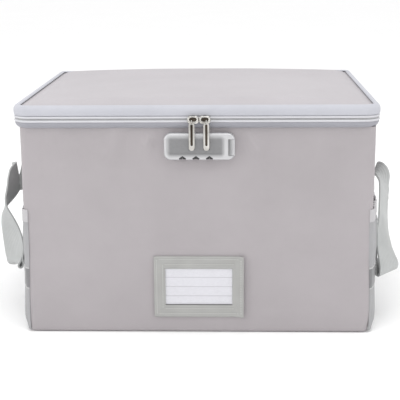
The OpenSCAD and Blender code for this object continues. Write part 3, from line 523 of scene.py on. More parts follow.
rim = round_band("rim_cloth", (0.1946, 0.1596, 0.0066, 0.0066), [
    (0.0, 0.2428), (0.0001, 0.2470), (0.0, 0.2496), (-0.0005, 0.2505), (-0.0014, 0.2508),
    (-0.0030, 0.2508), (-0.0042, 0.2506), (-0.0047, 0.2502), (-0.0046, 0.2499), (-0.0010, 0.2498),
    (-0.0008, 0.2494), (-0.0008, 0.2428), (0.0, 0.2428),
], 0.012, segments=6, closed=True)
lay_map(rim, lambda at, middle, normal: (
    np.where(np.abs(normal[:, 0]) > 0.7, at[:, 1], at[:, 0]), at[:, 2]))
smooth(rim)
finish_piece(rim, woven("rim binding cloth", (0.42, 0.42, 0.46), (0.49, 0.49, 0.53), 0.0009, 0.0001),
             "box", "edge_binding", "rim_binding")


# The two rails that hanging folders hook over: moulded, with a pale even gloss, and
# held by four bright rivets each.
def rail_plastic():
    coat = Finish("rail plastic", {"Roughness": 0.35})
    coat.mottle((0.60, 0.60, 0.61), (0.72, 0.72, 0.73), 60.0, low=0.35, high=0.65)
    coat.relief(coat.noise(700.0), 0.15, 0.0001)
    return coat.material


def metal(name, dark, light, rough_low, rough_high):
    """Plated or bare metal: a clouding of its colour that is painted reflection, fine scratches and uneven
    polish.
    """
    plate = Finish(name, {"Metallic": 1.0})
    # Painted reflection: light and dark clouds in the colour stand for what bright metal reflects.
    plate.mottle(dark, light, 90.0, 3.0)
    fine = plate.noise(400.0, 6.0)
    polish = {"Value": fine, "To Min": rough_low, "To Max": rough_high}
    plate.feed("Roughness", plate.add("MapRange", polish, "Result"))
    plate.relief(fine, 0.3, 0.00003)
    return plate.material


bright_plate = metal("bright plate", (0.40, 0.385, 0.36), (0.70, 0.685, 0.655), 0.14, 0.32)
dress(rail_plastic(), "front_rail", "back_rail")
dress(bright_plate, "rail_rivets")


# The zip: a flared band sewn to the body, two beaded tapes with their rows of coil,
# a tab of band cloth over each end of the zip, and the cloth hinge behind.
lid_outline = lid_half_w, lid_half_d, lid_front_r, lid_back_r = 0.202, 0.167, 0.020, 0.010
band_cloth = woven("binding cloth", (0.415, 0.42, 0.457), (0.485, 0.49, 0.533), 0.0008, 0.00006)
tape_cloth = woven("zip tape cloth", (0.53, 0.53, 0.555), (0.61, 0.61, 0.64), 0.0007, 0.00010)

zip_flare = round_band("zip_flare", lid_outline, [
    (-0.0072, 0.2377), (-0.0054, 0.2379), (-0.0036, 0.2387), (-0.0020, 0.2402), (-0.0010, 0.2421),
    (-0.0006, 0.2437), (-0.0008, 0.2444),
], 0.009)
# Painted shade: the flare's cloth is a darker copy of the binding, for the shade under the zip.
shaded_flare_cloth = woven("shaded flare cloth", (0.270, 0.270, 0.298), (0.330, 0.330, 0.365), 0.0008, 0.00006)
thicken(zip_flare, 0.0010)
finish_piece(zip_flare, shaded_flare_cloth, "box", "edge_binding", "lower_band")

for name, body, profile in (
    ("lower", "box", (
        (-0.0040, 0.2446), (-0.0012, 0.2444), (-0.0004, 0.2447), (0.0001, 0.2454), (0.0002, 0.2462),
        (-0.0002, 0.2469), (-0.0009, 0.2472), (-0.0040, 0.2471), (-0.0040, 0.2446))),
    ("upper", "lid", (
        (-0.0040, 0.2489), (-0.0009, 0.2488), (-0.0002, 0.2491), (0.0002, 0.2498), (0.0001, 0.2506),
        (-0.0004, 0.2512), (-0.0012, 0.2515), (-0.0040, 0.2515), (-0.0040, 0.2489))),
):
    zip_tape = round_band(f"{name}_tape", lid_outline, profile, 0.009, closed=True, keep="below")
    smooth(zip_tape)
    finish_piece(zip_tape, tape_cloth, body, "zip_tape", f"{name}_zip_tape")


def outline_matrix(run, out, height):
    """The place on the lid's outline this far from the middle of the front: X along
    the edge, Y inwards and Z up."""
    hand, run = (-1 if run < 0 else 1), abs(run)
    front = lid_half_w - lid_front_r
    side = front + lid_front_r * math.pi / 2
    back = side + 2 * lid_half_d - lid_front_r - lid_back_r
    turn = min(max((run - front) / lid_front_r, 0), math.pi / 2)
    back_turn = min(max((run - back) / lid_back_r, 0), math.pi / 2)
    x = min(run, front) + lid_front_r * math.sin(turn) - lid_back_r * (1 - math.cos(back_turn))
    x -= max(run - back - lid_back_r * math.pi / 2, 0)
    y = -lid_half_d + lid_front_r * (1 - math.cos(turn)) + min(max(run - side, 0), back - side)
    y += lid_back_r * math.sin(back_turn)
    way = Vector((math.sin(turn + back_turn) * hand, -math.cos(turn + back_turn), 0))
    along = Vector((-way.y, way.x, 0))
    place = Vector((x * hand, y, height)) + way * out
    return Matrix.Translation(place) @ Matrix((along, -way, Vector((0, 0, 1)))).transposed().to_4x4()


def repeat(name, seed, places):
    """One mesh of copies of a small piece, each set at its place. The seed goes."""
    shape = points_of(seed)
    faces = [tuple(face.vertices) for face in seed.data.polygons]
    spots, skins = [], []
    for number, place in enumerate(places):
        place = np.array(place)
        spots.append(shape @ place[:3, :3].T + place[:3, 3])
        skins += [tuple(v + number * len(shape) for v in face) for face in faces]
    mesh = bpy.data.meshes.new(name)
    mesh.from_pydata(np.concatenate(spots).tolist(), [], skins)
    piece = bpy.data.objects.new(name, mesh)
    bpy.context.scene.collection.objects.link(piece)
    bpy.data.objects.remove(seed)
    return piece


def small_block(name, low, high, edge, segments=1):
    """A small block with rounded edges, the start of a stitch or a tooth."""
    block = start_cube(name, low, high)
    edit(True)
    bpy.ops.mesh.select_all(action="SELECT")
    bpy.ops.mesh.bevel(offset=edge, segments=segments, affect="EDGES")
    edit(False)
    return block


def spun(name, dark, light, rough, scale):
    """Thread, nylon, paint, and the label window's painted slit shadow: fine uneven tone and a soft gloss.
    """
    thread = Finish(name, {"Roughness": rough})
    thread.relief(thread.mottle(dark, light, scale), 0.4, 0.0001)
    return thread.material


nylon = spun("coil nylon", (0.42, 0.42, 0.43), (0.52, 0.52, 0.53), 0.4, 1500.0)
tooth_pitch, zip_run = 0.0016, 0.496
tooth_count = int(zip_run / tooth_pitch)
for row_name, body, height, lag, node in (
    ("lower_coil_teeth", "box", 0.2475, 0.0, "lower_zip_coil"),
    ("upper_coil_teeth", "lid", 0.2485, 0.5, "upper_zip_coil"),
):
    tooth = small_block("tooth", (-0.00036, 0.0, -0.00075), (0.00036, 0.0013, 0.00075), 0.0002)
    teeth = repeat(row_name, tooth, [
        outline_matrix((i + lag) * tooth_pitch, -0.0004, height) for i in range(-tooth_count, tooth_count)
    ])
    finish_piece(teeth, nylon, body, "zip_coil", node)

hinge_cloth = round_band("hinge_cloth", lid_outline, [
    (-0.0012, 0.2442), (-0.0009, 0.2450), (-0.0007, 0.2460), (-0.0006, 0.2468), (-0.0006, 0.2474),
    (-0.0006, 0.2480), (-0.0006, 0.2486), (-0.0006, 0.2492), (-0.0007, 0.2500), (-0.0009, 0.2510),
    (-0.0012, 0.2518),
], 0.012, keep="above")
thicken(hinge_cloth, 0.0010)
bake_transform(hinge_cloth)
finish_piece(hinge_cloth, band_cloth, None, "edge_binding", "lower_hinge_strip", "upper_hinge_strip")


def flat_map(i, j):
    """A map that lies flat across two axes."""
    return lambda at, middle, normal: (at[:, i], at[:, j])


for side, hand in ((-1, "left"), (1, "right")):
    tab_x = sorted((side * 0.2012, side * 0.2031))
    tab = small_block(f"{hand}_zip_tab", (tab_x[0], 0.141, 0.2440), (tab_x[1], 0.157, 0.2476), 0.0006, 3)
    lay_map(tab, flat_map(1, 2))
    smooth(tab, 50)
    finish_piece(tab, band_cloth, "box", "edge_binding", "zip_end_tabs")


# The lid's edge: a band of binding cloth folded over the board and the padding, with
# a lip on top, sewn through near the zip.
lid_edge = round_band("lid_edge", lid_outline, [
    (-0.0016, 0.2518), (-0.0004, 0.2518), (0.0002, 0.2524), (0.0005, 0.2545), (0.0006, 0.2570),
    (0.0003, 0.2592), (-0.0005, 0.2609), (-0.0018, 0.2623), (-0.0034, 0.2630), (-0.0054, 0.2631),
    (-0.0067, 0.2627), (-0.0072, 0.2619), (-0.0064, 0.2613), (-0.0038, 0.2613), (-0.0022, 0.2604),
    (-0.0016, 0.2588), (-0.0016, 0.2518),
], 0.009, closed=True)
smooth(lid_edge)
finish_piece(lid_edge, band_cloth, "lid", "edge_binding", "lid_binding")

pale_thread = spun("pale thread", (0.44, 0.44, 0.48), (0.56, 0.56, 0.60), 0.6, 2500.0)
stitch_pitch = 0.0034
half_round = float(run_round(np.array([[0.0, lid_half_d]]), lid_outline)[0])
stitch_count = int(half_round / stitch_pitch)
edge_stitches = repeat(
    "edge_stitches", small_block("stitch", (-0.0012, -0.00015, -0.0002), (0.0012, 0.0003, 0.0002), 0.0001),
    [outline_matrix((i + 0.5) * stitch_pitch, 0.0003, 0.25345)
     for i in range(-stitch_count, stitch_count)],
)
finish_piece(edge_stitches, pale_thread, "lid", "edge_binding")


# The lid's top: the same coated cloth over a thin felt pad, sewn in under the lip of
# the edge, so it rises in a low crown to the middle. Its copy of the cloth is painted
# lighter than the body's: painted light from above.
def inside_outline(spots, outline):
    """How far a point lies inside a rounded outline."""
    half_w, half_d, front_r, back_r = outline
    x, y = np.abs(spots[:, 0]), np.abs(spots[:, 1])
    cx, cy = corner_centre(spots, outline)
    r = np.where(spots[:, 1] < 0, front_r, back_r)
    off_corner = np.hypot(spots[:, 0] - cx, spots[:, 1] - cy)
    straight = np.minimum(half_w - x, half_d - y)
    return np.where((x > half_w - r) & (y > half_d - r), r - off_corner, straight)


pad_inset, pad_low, pad_high, sewn_z = 0.0016, 0.2560, 0.2610, 0.2605
pad_outline = tuple(size - pad_inset for size in lid_outline)
lid_top = rounded_box("lid_top", pad_outline, pad_low, pad_high, 8)
edge_cuts = [0.1985, 0.1968, 0.1950, 0.1942, 0.1934, 0.1925, 0.1905, 0.1870]
cut_across(0, [-c for c in edge_cuts] + even(-0.1870, 0.1870, 0.0055) + edge_cuts)
side_cuts = [c - (lid_half_w - lid_half_d) for c in edge_cuts]
cut_across(1, [-c for c in side_cuts] + even(-0.1520, 0.1520, 0.0055) + side_cuts)
cut_across(2, [(pad_low + pad_high) / 2])
edit(False)
spots = points_of(lid_top)
x, y, z = spots.T
depth_in = inside_outline(spots, lid_outline)
crown = np.maximum(1 - (x / 0.201) ** 2, 0)
at_side = ease(np.abs(x), 0.180, 0.194)
top_height = sewn_z + 0.0019 * (1 - at_side) * ease(depth_in, 0.0068, 0.0084)
top_height = top_height + 0.0010 * ease(depth_in, 0.0074, 0.012)
top_height = top_height + 0.0054 * ease(depth_in, 0.0070, 0.030) * crown ** 0.6
top_height = top_height + 0.0002 * soft_noise(spots, 0.06, 5) * ease(depth_in, 0.008, 0.02)
spots[:, 2] = np.where(z > sewn_z, top_height, z)
set_points(lid_top, spots)
lay_map(lid_top, flat_map(0, 1))
smooth(lid_top)
# Painted light: a lighter copy of the body's coated cloth, for the light falling on the top.
lit_lid_cloth = woven("lit lid cloth", (0.398, 0.377, 0.394), (0.438, 0.416, 0.434), 0.0009, 0.00008)
finish_piece(lid_top, lit_lid_cloth, "lid", "body_cloth", "lid_cover", "lid_padding")

pad_half_w, pad_half_d = pad_outline[:2]
lid_under = rounded_box("lid_lining_cloth", pad_outline, 0.2522, 0.2530, 8)
cut_across(0, even(-pad_half_w, pad_half_w, 0.012))
cut_across(1, even(-pad_half_d, pad_half_d, 0.012))
edit(False)
lay_map(lid_under, flat_map(0, 1))
smooth(lid_under, 40)
finish_piece(lid_under, lining_weave, "lid", "lining", "lid_lining")


# The sliders and their pulls, cast and bright plated. Each pull is a slotted frame
# on the slider's pin, with a block at its tip that goes into the lock. A dark disc in
# each slider's eye and a dark strip behind each pull's slot are painted shade.
# A dark plate used only for painted shade: in the sliders' eyes and behind the pulls' slots.
shade_plate = metal("painted shade plate", (0.035, 0.028, 0.022), (0.10, 0.082, 0.066), 0.3, 0.5)
eye_z, eye_front, slider_front, pull_cut_z = 0.2489, -0.1735, -0.1727, 0.2462


def middle_of(node):
    """Where the middle of a CAD piece is, across the box."""
    low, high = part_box(node)
    return (low[0] + high[0]) / 2


def runs_back(edge):
    return abs(edge.verts[0].co.y - edge.verts[1].co.y) > 1e-5


def add_ring(name, middle, radius, wire, turn, flatten):
    """A cast ring: its middle, its two radii, how it is turned and how flat it is."""
    ring = start_piece(name, bpy.ops.mesh.primitive_torus_add, major_radius=radius, minor_radius=wire,
                       major_segments=32, minor_segments=10, location=middle, rotation=turn)
    bpy.ops.object.transform_apply(location=False, rotation=True, scale=False)
    ring.scale = flatten
    bpy.ops.object.transform_apply(location=True, rotation=True, scale=True)
    return ring


def join_pieces(first, *others):
    bpy.ops.object.select_all(action="DESELECT")
    for piece in (first, *others):
        piece.select_set(True)
    bpy.context.view_layer.objects.active = first
    bpy.ops.object.join()
    return first


for hand in ("left", "right"):
    low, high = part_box(f"{hand}_slider")
    middle_x, pull_x = middle_of(f"{hand}_slider"), middle_of(f"{hand}_pull")
    slider = start_cube(f"{hand}_zip_slider", (low[0] + 0.0001, slider_front, 0.2440),
                        (high[0] - 0.0001, -0.1630, 0.2526))
    edit(True)
    round_off(0.0033, 6, runs_back)
    round_off(0.0007, 3, lambda edge: all(v.co.y < slider_front + 0.0001 for v in edge.verts)
              and any(face.normal.y > -0.9 for face in edge.link_faces))
    edit(False)
    bridge = small_block("bridge", (middle_x - 0.0024, -0.1740, 0.2512),
                         (middle_x + 0.0024, -0.1690, 0.2526), 0.0006, 2)
    eye_rim = add_ring("eye rim", (middle_x, eye_front, eye_z), 0.0045, 0.0010,
                       (math.pi / 2, 0, 0), (1.12, 1, 0.66))
    join_pieces(slider, bridge, eye_rim)
    smooth(slider, 40)
    finish_piece(slider, bright_plate, f"{hand}_slider", "bright_metal", f"{hand}_slider")
    # Painted shade: a dark disc in the slider's eye, where the opening under the bridge lies in shadow.
    eye = start_piece(f"{hand}_slider_eye_shade", bpy.ops.mesh.primitive_uv_sphere_add, segments=24,
                      ring_count=12, radius=1.0, location=(middle_x, slider_front + 0.0001, eye_z))
    eye.scale = (0.0042, 0.0006, 0.0021)
    bpy.ops.object.transform_apply(location=True, rotation=True, scale=True)
    smooth(eye)
    finish_piece(eye, shade_plate, f"{hand}_slider", "bright_metal")

    pull = bpy.data.objects.new(f"{hand}_slotted_pull", nodes[f"{hand}_pull"].data.copy())
    bpy.context.scene.collection.objects.link(pull)
    select_only(pull)
    edit(True)
    merge_doubles()
    bpy.ops.mesh.bisect(plane_co=(0, 0, pull_cut_z), plane_no=(0, 0, 1), clear_outer=True, use_fill=True)
    edit(False)
    bail = add_ring("bail", (pull_x, eye_front + 0.0002, pull_cut_z + 0.0002), 0.0017, 0.0006,
                    (0, math.pi / 2, 0), (1, 1, 1.1))
    join_pieces(pull, bail)
    smooth(pull, 40)
    finish_piece(pull, bright_plate, f"{hand}_pull", "bright_metal", f"{hand}_pull")
    # Painted shade: a dark strip behind the pull's slot, where the slot lies in shadow.
    slot_shade = small_block(f"{hand}_pull_slot_shade", (pull_x - 0.0014, -0.17235, 0.2205),
                        (pull_x + 0.0014, -0.1718, 0.2428), 0.0002)
    finish_piece(slot_shade, shade_plate, f"{hand}_pull", "bright_metal")


# The lock: a moulded housing in satin silver lacquer, with a painted highlight over its
# rim and a painted dark reflection on its face, screwed through the wall to a steel
# plate. Three dials turn on a shaft in its lower edge.
lock_face_x, lock_face_z, lock_corner, button_right = (-0.0345, 0.0345), (0.2035, 0.2325), 0.0075, 0.0428


def lock_lacquer(name, face_x):
    """Silver lacquer with a painted highlight over the rounded rim of the lock's face, and a painted dark
    reflection inside it.
    """
    coat = Finish(name, {"Metallic": 0.55, "Roughness": 0.42})
    beyond = []
    for axis, low, high in (("X", *face_x), ("Z", *lock_face_z)):
        off = coat.calculate("ABSOLUTE", coat.calculate("SUBTRACT", coat.along(axis), (low + high) / 2))
        beyond.append(coat.calculate("SUBTRACT", off, (high - low) / 2 - lock_corner))
    squares = [coat.calculate("POWER", coat.calculate("MAXIMUM", part, 0.0), 2.0) for part in beyond]
    round_part = coat.calculate("SQRT", coat.calculate("ADD", *squares))
    inner_part = coat.calculate("MINIMUM", coat.calculate("MAXIMUM", *beyond), 0.0)
    inside = coat.calculate("SUBTRACT", lock_corner, coat.calculate("ADD", round_part, inner_part))
    # Painted highlight: the colour grows lighter over the rounded rim, where it would catch the light.
    rim_highlight = coat.add("MapRange", {"Value": inside, "From Min": 0.0072, "From Max": 0.0012}, "Result",
                      interpolation_type="SMOOTHSTEP")
    speck = coat.noise(2200.0)
    # The face's dark tone is a painted reflection, and the rim's light tone is the painted highlight.
    face = coat.tone(speck, (0.19, 0.19, 0.195), (0.27, 0.27, 0.275))
    rim = coat.tone(speck, (0.49, 0.49, 0.50), (0.58, 0.58, 0.59))
    coat.feed("Base Color", coat.mix(rim_highlight, face, rim))
    return coat.material


case_lacquer = lock_lacquer("lock lacquer", lock_face_x)
dress(case_lacquer, "lock_housing")
dress(lock_lacquer("button lacquer", (lock_face_x[0], button_right)), "release_button")
button_lip = small_block("button_lip", (0.0312, -0.1691, 0.2074), (0.0358, -0.16865, 0.2266), 0.00015, 2)
smooth(button_lip, 40)
finish_piece(button_lip, case_lacquer, "box", "lock_metal")
dress(metal("plain steel", (0.42, 0.42, 0.43), (0.56, 0.56, 0.57), 0.28, 0.45),
      "lock_back_plate", "dial_shaft", "catch_bar", "button_spring")
dress(bright_plate, "lock_screws")
dials = ("dial_1", "dial_2", "dial_3")
dial_black = mottled("dial plastic", {"Roughness": 0.45}, (0.012, 0.012, 0.013),
                     (0.03, 0.03, 0.032), 1500.0)
dress(dial_black, *dials)
# Painted shade: the upper edge of each dial's notch is darkened by two short dark arms that lean together,
# for the notch's shadowed opening.
arm_z, arm_off, arm_lean = 0.2058, 0.0017, 0.62
for number, dial in enumerate(dials, 1):
    arms = []
    for side in (-1, 1):
        arm = small_block("arm", (-0.0024, -0.16915, -0.0008), (0.0024, -0.1686, 0.0008), 0.0002)
        arm.data.transform(Matrix.Translation((middle_of(dial) + side * arm_off, 0, arm_z))
                           @ Matrix.Rotation(side * arm_lean, 4, "Y"))
        arms.append(arm)
    notch_shade = join_pieces(*arms)
    notch_shade.name = f"dial_notch_shade_{number}"
    finish_piece(notch_shade, dial_black, "box", "dial")

number_paint = spun("number paint", (0.60, 0.60, 0.58), (0.72, 0.72, 0.70), 0.5, 900.0)
dial_axis_y, dial_axis_z, dial_paint_r, number_height = -0.1645, 0.2073, 0.00385, 0.0017
for dial in dials:
    marks = []
    for number in range(10):
        mark = start_piece("mark", bpy.ops.object.text_add, location=(0, 0, 0))
        mark.data.body = str(number)
        mark.data.align_x, mark.data.align_y = "CENTER", "CENTER"
        mark.data.size = number_height * 1.35
        mark.data.extrude = 0.00003
        mark.data.resolution_u = 3
        bpy.ops.object.convert(target="MESH")
        mark.data.transform(
            Matrix.Translation((middle_of(dial), dial_axis_y, dial_axis_z))
            @ Matrix.Rotation(math.radians(36 * number), 4, "X")
            @ Matrix.Translation((0, -dial_paint_r, 0)) @ Matrix.Rotation(math.radians(90), 4, "X")
        )
        marks.append(mark)
    numbers = join_pieces(*marks)
    numbers.name = f"{dial}_numbers"
    finish_piece(numbers, number_paint, dial, "dial")


# The label holder: a frame of leather-look sheet sewn to the front, with a film
# window, and a ruled card that slides in from the right.
card_lines, card_line_half = (0.0660, 0.0550, 0.0440), 0.00045


def frame_leather():
    leather = Finish("frame leather", {"Roughness": 0.55})
    leather.mottle((0.318, 0.318, 0.308), (0.352, 0.352, 0.342), 60.0, 5.0)
    pebbles = leather.add("TexVoronoi", {"Vector": leather.at, "Scale": 900.0}, "Distance",
                          feature="DISTANCE_TO_EDGE")
    leather.relief(pebbles, 0.5, 0.0001)
    return leather.material


def ruled_card():
    card = Finish("ruled card", {"Roughness": 0.8})
    colour = card.tone(card.noise(500.0), (0.572, 0.567, 0.604), (0.616, 0.61, 0.65))
    for line_z in card_lines:
        line = card.calculate("COMPARE", card.along("Z"), line_z, card_line_half)
        colour = card.mix(line, colour, (0.42, 0.41, 0.45, 1))
    card.feed("Base Color", colour)
    return card.material


label_low_x, label_high_x, label_low_z, label_high_z = -0.049, 0.053, 0.019, 0.091
window = window_low_x, window_high_x, window_low_z, window_high_z = -0.036, 0.040, 0.0335, 0.0765
label_front, label_back, label_thread = -0.1625, -0.1604, 0.0030
stitch_lines = (
    ((-0.0458, 0.0225), (-0.0458, 0.0875)), ((-0.0390, 0.0295), (-0.0390, 0.0815)),
    ((0.0498, 0.0225), (0.0498, 0.0875)), ((-0.0435, 0.0875), (0.0475, 0.0875)),
    ((-0.0435, 0.0232), (0.0475, 0.0232)), ((-0.0365, 0.0815), (0.0420, 0.0815)),
    ((-0.0365, 0.0290), (0.0420, 0.0290)),
)
label_leather = start_cube("label_leather", (label_low_x, label_front, label_low_z),
                           (label_high_x, label_back, label_high_z))
edit(True)
round_off(0.0015, 3, runs_back)
cut_across(0, [window_low_x, window_high_x])
cut_across(2, [window_low_z, window_high_z])


def in_window(face):
    spot = face.calc_center_median()
    return abs(face.normal.y) > 0.9 and from_area(spot.x, spot.z, window) < 1e-6


pick("FACE", in_window)
bpy.ops.mesh.delete(type="FACE")
pick("EDGE", lambda edge: len(edge.link_faces) == 1)
bpy.ops.mesh.bridge_edge_loops()
cut_across(0, even(label_low_x, label_high_x, 0.0011))
cut_across(2, even(label_low_z, label_high_z, 0.0011))
cut_across(1, [label_front + 0.0007])
edit(False)


def label_lift(x):
    """How far the open right end of the frame, where the card goes in, stands off."""
    return 0.0030 * ease(x, 0.0430, 0.0530)


spots = points_of(label_leather)
x, z = spots[:, 0], spots[:, 2]
from_edge = np.min([x - label_low_x, label_high_x - x, z - label_low_z, label_high_z - z], axis=0)
sink = 0.0006 * (1 - ease(np.minimum(from_edge, from_area(x, z, window)), 0.0, 0.0012))
for start, end in stitch_lines:
    from_seam = near_segment(x, z, *start, *end)[0]
    sink = np.maximum(sink, 0.00035 * (1 - ease(from_seam, 0.0003, 0.0016)))
spots[:, 1] += np.where(spots[:, 1] < label_front + 0.0005, sink, 0) - label_lift(x)
set_points(label_leather, spots)
lay_map(label_leather, flat_map(0, 2))
smooth(label_leather, 50)
finish_piece(label_leather, frame_leather(), "box", "label_leather", "label_frame")


def along_seams(lines, pitch):
    """Even places on straight seams, each with its seam's direction."""
    for (u0, v0), (u1, v1) in lines:
        reach = math.hypot(u1 - u0, v1 - v0)
        count = round(reach / pitch)
        for i in range(count):
            t = (i + 0.5) / count
            yield u0 + (u1 - u0) * t, v0 + (v1 - v0) * t, (u1 - u0) / reach, (v1 - v0) / reach


label_places = [
    Matrix.Translation((x, label_front + 0.00018 - float(label_lift(x)), z))
    @ Matrix.Rotation(-math.atan2(way_z, way_x), 4, "Y")
    for x, z, way_x, way_z in along_seams(stitch_lines, label_thread)
]
label_stitch = small_block("stitch", (-0.0008, -0.0003, -0.00035), (0.0008, 0.0002, 0.00035), 0.00012)
label_stitches = repeat("label_stitches", label_stitch, label_places)
finish_piece(label_stitches, spun("label thread", (0.46, 0.46, 0.45), (0.56, 0.56, 0.55), 0.6, 2500.0),
             "box", "label_leather")
clear_film = mottled("clear film", {"Alpha": 0.08, "Roughness": 0.12}, (0.93, 0.94, 0.95),
                     (0.97, 0.98, 0.99), 60.0)
dress(clear_film, "label_window")
# Painted shadow: a thin dark strip along the window's lower edge, for the shadow in the slit below the
# card.
window_slit_shadow = small_block("window_slit_shadow", (window_low_x + 0.0002, -0.16205, window_low_z - 0.0005),
                        (window_high_x - 0.0002, -0.1612, window_low_z + 0.0006), 0.0002)
finish_piece(window_slit_shadow, spun("window slit shadow", (0.07, 0.07, 0.07), (0.11, 0.11, 0.11), 0.5, 900.0),
             "box", "label_film")
dress(ruled_card(), "label_card")


# A pocket on each side: cloth sewn to the wall along both ends and the bottom, so it
# bows off the wall, and gathered at its top by an elastic hem.
pocket_low, hem_low, hem_high = 0.0025, 0.131, 0.145
pocket_half = {-1: 0.1624, 1: 0.1606}
tape_low, tape_high, beaded_half = 0.0515, 0.0775, 0.0112
bow_out = 0.009


def bow(y, z):
    """How far the cloth bows off the wall. The elastic draws its ends back to it."""
    drawn = 1 - 0.6 * ease(z, 0.095, hem_high) * ease(np.abs(y), 0.095, 0.145)
    full = 1 - ease(z, 0.015, 0.060)
    reach = 0.153 + 0.003 * full
    return bow_out * (1 - np.minimum(1, np.abs(y / reach)) ** (8 + 4 * full)) * drawn


def puckers(y, z, side):
    """The gathers that the elastic draws up, dying out below the hem."""
    wander = 0.010 * np.sin(y * 47.0 + side) + 0.006 * np.sin(y * 113.0 + 2.0 * side)
    turn = 2 * math.pi * (y + wander)
    wave = np.sin(turn / 0.0171) + 0.5 * np.sin(turn / 0.0093)
    return wave * (0.12 + 0.88 * ease(z, 0.080, hem_low)) * 0.0007


def pocket_stand(y, z, side):
    """How far the pocket's outer face is from the middle of the box."""
    lift = np.sin(np.clip((z - pocket_low) / 0.012, 0, 1) * math.pi / 2)
    held = np.clip((pocket_half[side] - np.abs(y)) / 0.02, 0, 1)
    swell = right_swell * (side > 0)
    soft = 0.0006 * np.sin(y * 31.0 + 1.7 * side) * np.sin(z * 37.0 + 0.6)
    seam = 0.0010 + 0.0006 * ease(np.abs(y), 0.140, 0.150)
    return body_half_w + swell + seam + bow(y, z) * lift + (puckers(y, z, side) + soft) * held * lift


def sheet_on_side(name, side, low_z, high_z, columns, rows, lift):
    """A piece of cloth that lies on the pocket's face, lift metres off it, and goes
    round the corners of the box with it."""
    piece = start_piece(name, bpy.ops.mesh.primitive_grid_add, x_subdivisions=columns,
                        y_subdivisions=rows, size=1.0)
    spots = points_of(piece)
    run = side * spots[:, 0] * 2 * pocket_half[side]
    z = low_z + (spots[:, 1] + 0.5) * (high_z - low_z)
    swell = right_swell * (side > 0)
    off = pocket_stand(run, z, side) + lift - swell - body_half_w + body_r
    straight = body_half_d - body_r
    turn = np.clip((np.abs(run) - straight) / body_r, 0, None) * (0.72 + 0.28 * ease(z, 0.015, 0.120))
    x = side * (body_half_w - body_r + off * np.cos(turn) + swell * ease(np.cos(turn), 0.0, 1.0))
    y = np.sign(run) * (np.minimum(np.abs(run), straight) + off * np.sin(turn))
    set_points(piece, np.stack([x, y, z], axis=1))
    lay_map(piece, flat_map(1, 2))
    return piece


pocket_cloth = woven("pocket cloth", (0.290, 0.289, 0.297), (0.350, 0.349, 0.358), 0.0011, 0.00012)
hem_cloth = woven("elastic hem cloth", (0.41, 0.40, 0.412), (0.49, 0.48, 0.49), 0.0010, 0.00015)


def reflective_tape():
    """Tape of glass beads, with a pale woven edge on each side."""
    tape = Finish("reflective tape", {"Roughness": 0.38, "Metallic": 0.2})
    beads = tape.add("TexVoronoi", {"Vector": tape.chart, "Scale": 2500.0}, "Distance")
    grey = tape.tone(beads, (0.155, 0.155, 0.16), (0.205, 0.205, 0.21), 0.2, 0.8)
    middle_z = (tape_low + tape_high) / 2
    inner = tape.calculate("COMPARE", tape.along("Y", tape.chart), middle_z, beaded_half)
    tape.feed("Base Color", tape.mix(inner, (0.43, 0.43, 0.43, 1), grey))
    return tape.material


tape_film = reflective_tape()
for side, hand in ((-1, "left"), (1, "right")):
    pocket = sheet_on_side(f"{hand}_pocket_cloth", side, pocket_low, hem_low + 0.0022, 260, 44, 0.0)
    thicken(pocket, 0.0009)
    finish_piece(pocket, pocket_cloth, "box", "pocket_cloth", f"{hand}_pocket")
    hem = sheet_on_side(f"{hand}_hem_band", side, hem_low - 0.0002, hem_high, 320, 8, 0.0007)
    thicken(hem, 0.0016)
    finish_piece(hem, hem_cloth, "box", "elastic", f"{hand}_hem")
    tape = sheet_on_side(f"{hand}_reflective_tape", side, tape_low, tape_high, 200, 8, 0.0004)
    thicken(tape, 0.0005)
    finish_piece(tape, tape_film, "box", "reflective", f"{hand}_tape")


# The handles: one length of ribbed webbing on each side. Both its ends are sewn flat
# to the pocket, and between them it hangs down, turns out and rises off the wall.

# Each station is a place in millimetres from the sewn line on the pocket's crest, and
# the way of the webbing's width there.
sewn_start = (1.4, -105, -1, 0, 1, 0)
sewn_end = (
    (14.5, 118, -17, 0.15, 0.93, 0.3),
    (5, 120, -16, 0.05, 1, 0.05),
    (1.4, 120, -8, 0, 1, 0),
    (1.4, 120, -1, 0, 1, 0),
)
left_route = (
    sewn_start,
    (1.4, -105, -11, 0, 1, 0),
    (4.5, -105.5, -18, 0.22, 0.97, -0.02),
    (9.5, -106.5, -21, 0.45, 0.87, -0.1),
    (13.5, -106.5, -16.5, 0.62, 0.7, -0.3),
    (14.3, -103, -8, 0.7, 0.55, -0.45),
    (16.3, -98, 1, 0.7, 0.5, -0.5),
    (19.5, -92.5, 10.5, 0.66, 0.54, -0.52),
    (23, -88, 19.5, 0.59, 0.62, -0.5),
    (26.5, -84, 28.5, 0.5, 0.72, -0.47),
    (29, -80, 38, 0.35, 0.83, -0.42),
    (28, -75.5, 46.5, 0.16, 0.89, -0.43),
    (24.5, -71, 54.5, 0, 0.88, -0.48),
    (21.5, -66.5, 62, -0.15, 0.88, -0.46),
    (19.5, -62, 69, -0.27, 0.9, -0.36),
    (18, -57.5, 73, -0.33, 0.92, -0.22),
    (15.8, -51.5, 74.5, -0.35, 0.93, -0.06),
    (13.3, -43.5, 73, -0.33, 0.92, 0.15),
    (11.4, -33, 70.5, -0.28, 0.86, 0.4),
    (10.8, -21, 67, -0.22, 0.76, 0.58),
    (11.4, -8, 62, -0.12, 0.66, 0.7),
    (13.5, 6, 56, 0, 0.58, 0.78),
    (16.5, 22, 48, 0.1, 0.54, 0.8),
    (19, 40, 37.5, 0.18, 0.54, 0.8),
    (21.5, 60, 26, 0.2, 0.57, 0.8),
    (24, 80, 13, 0.2, 0.57, 0.8),
    (24.5, 96, 2, 0.2, 0.62, 0.75),
    (22.5, 109, -9, 0.2, 0.75, 0.62),
    *sewn_end,
)
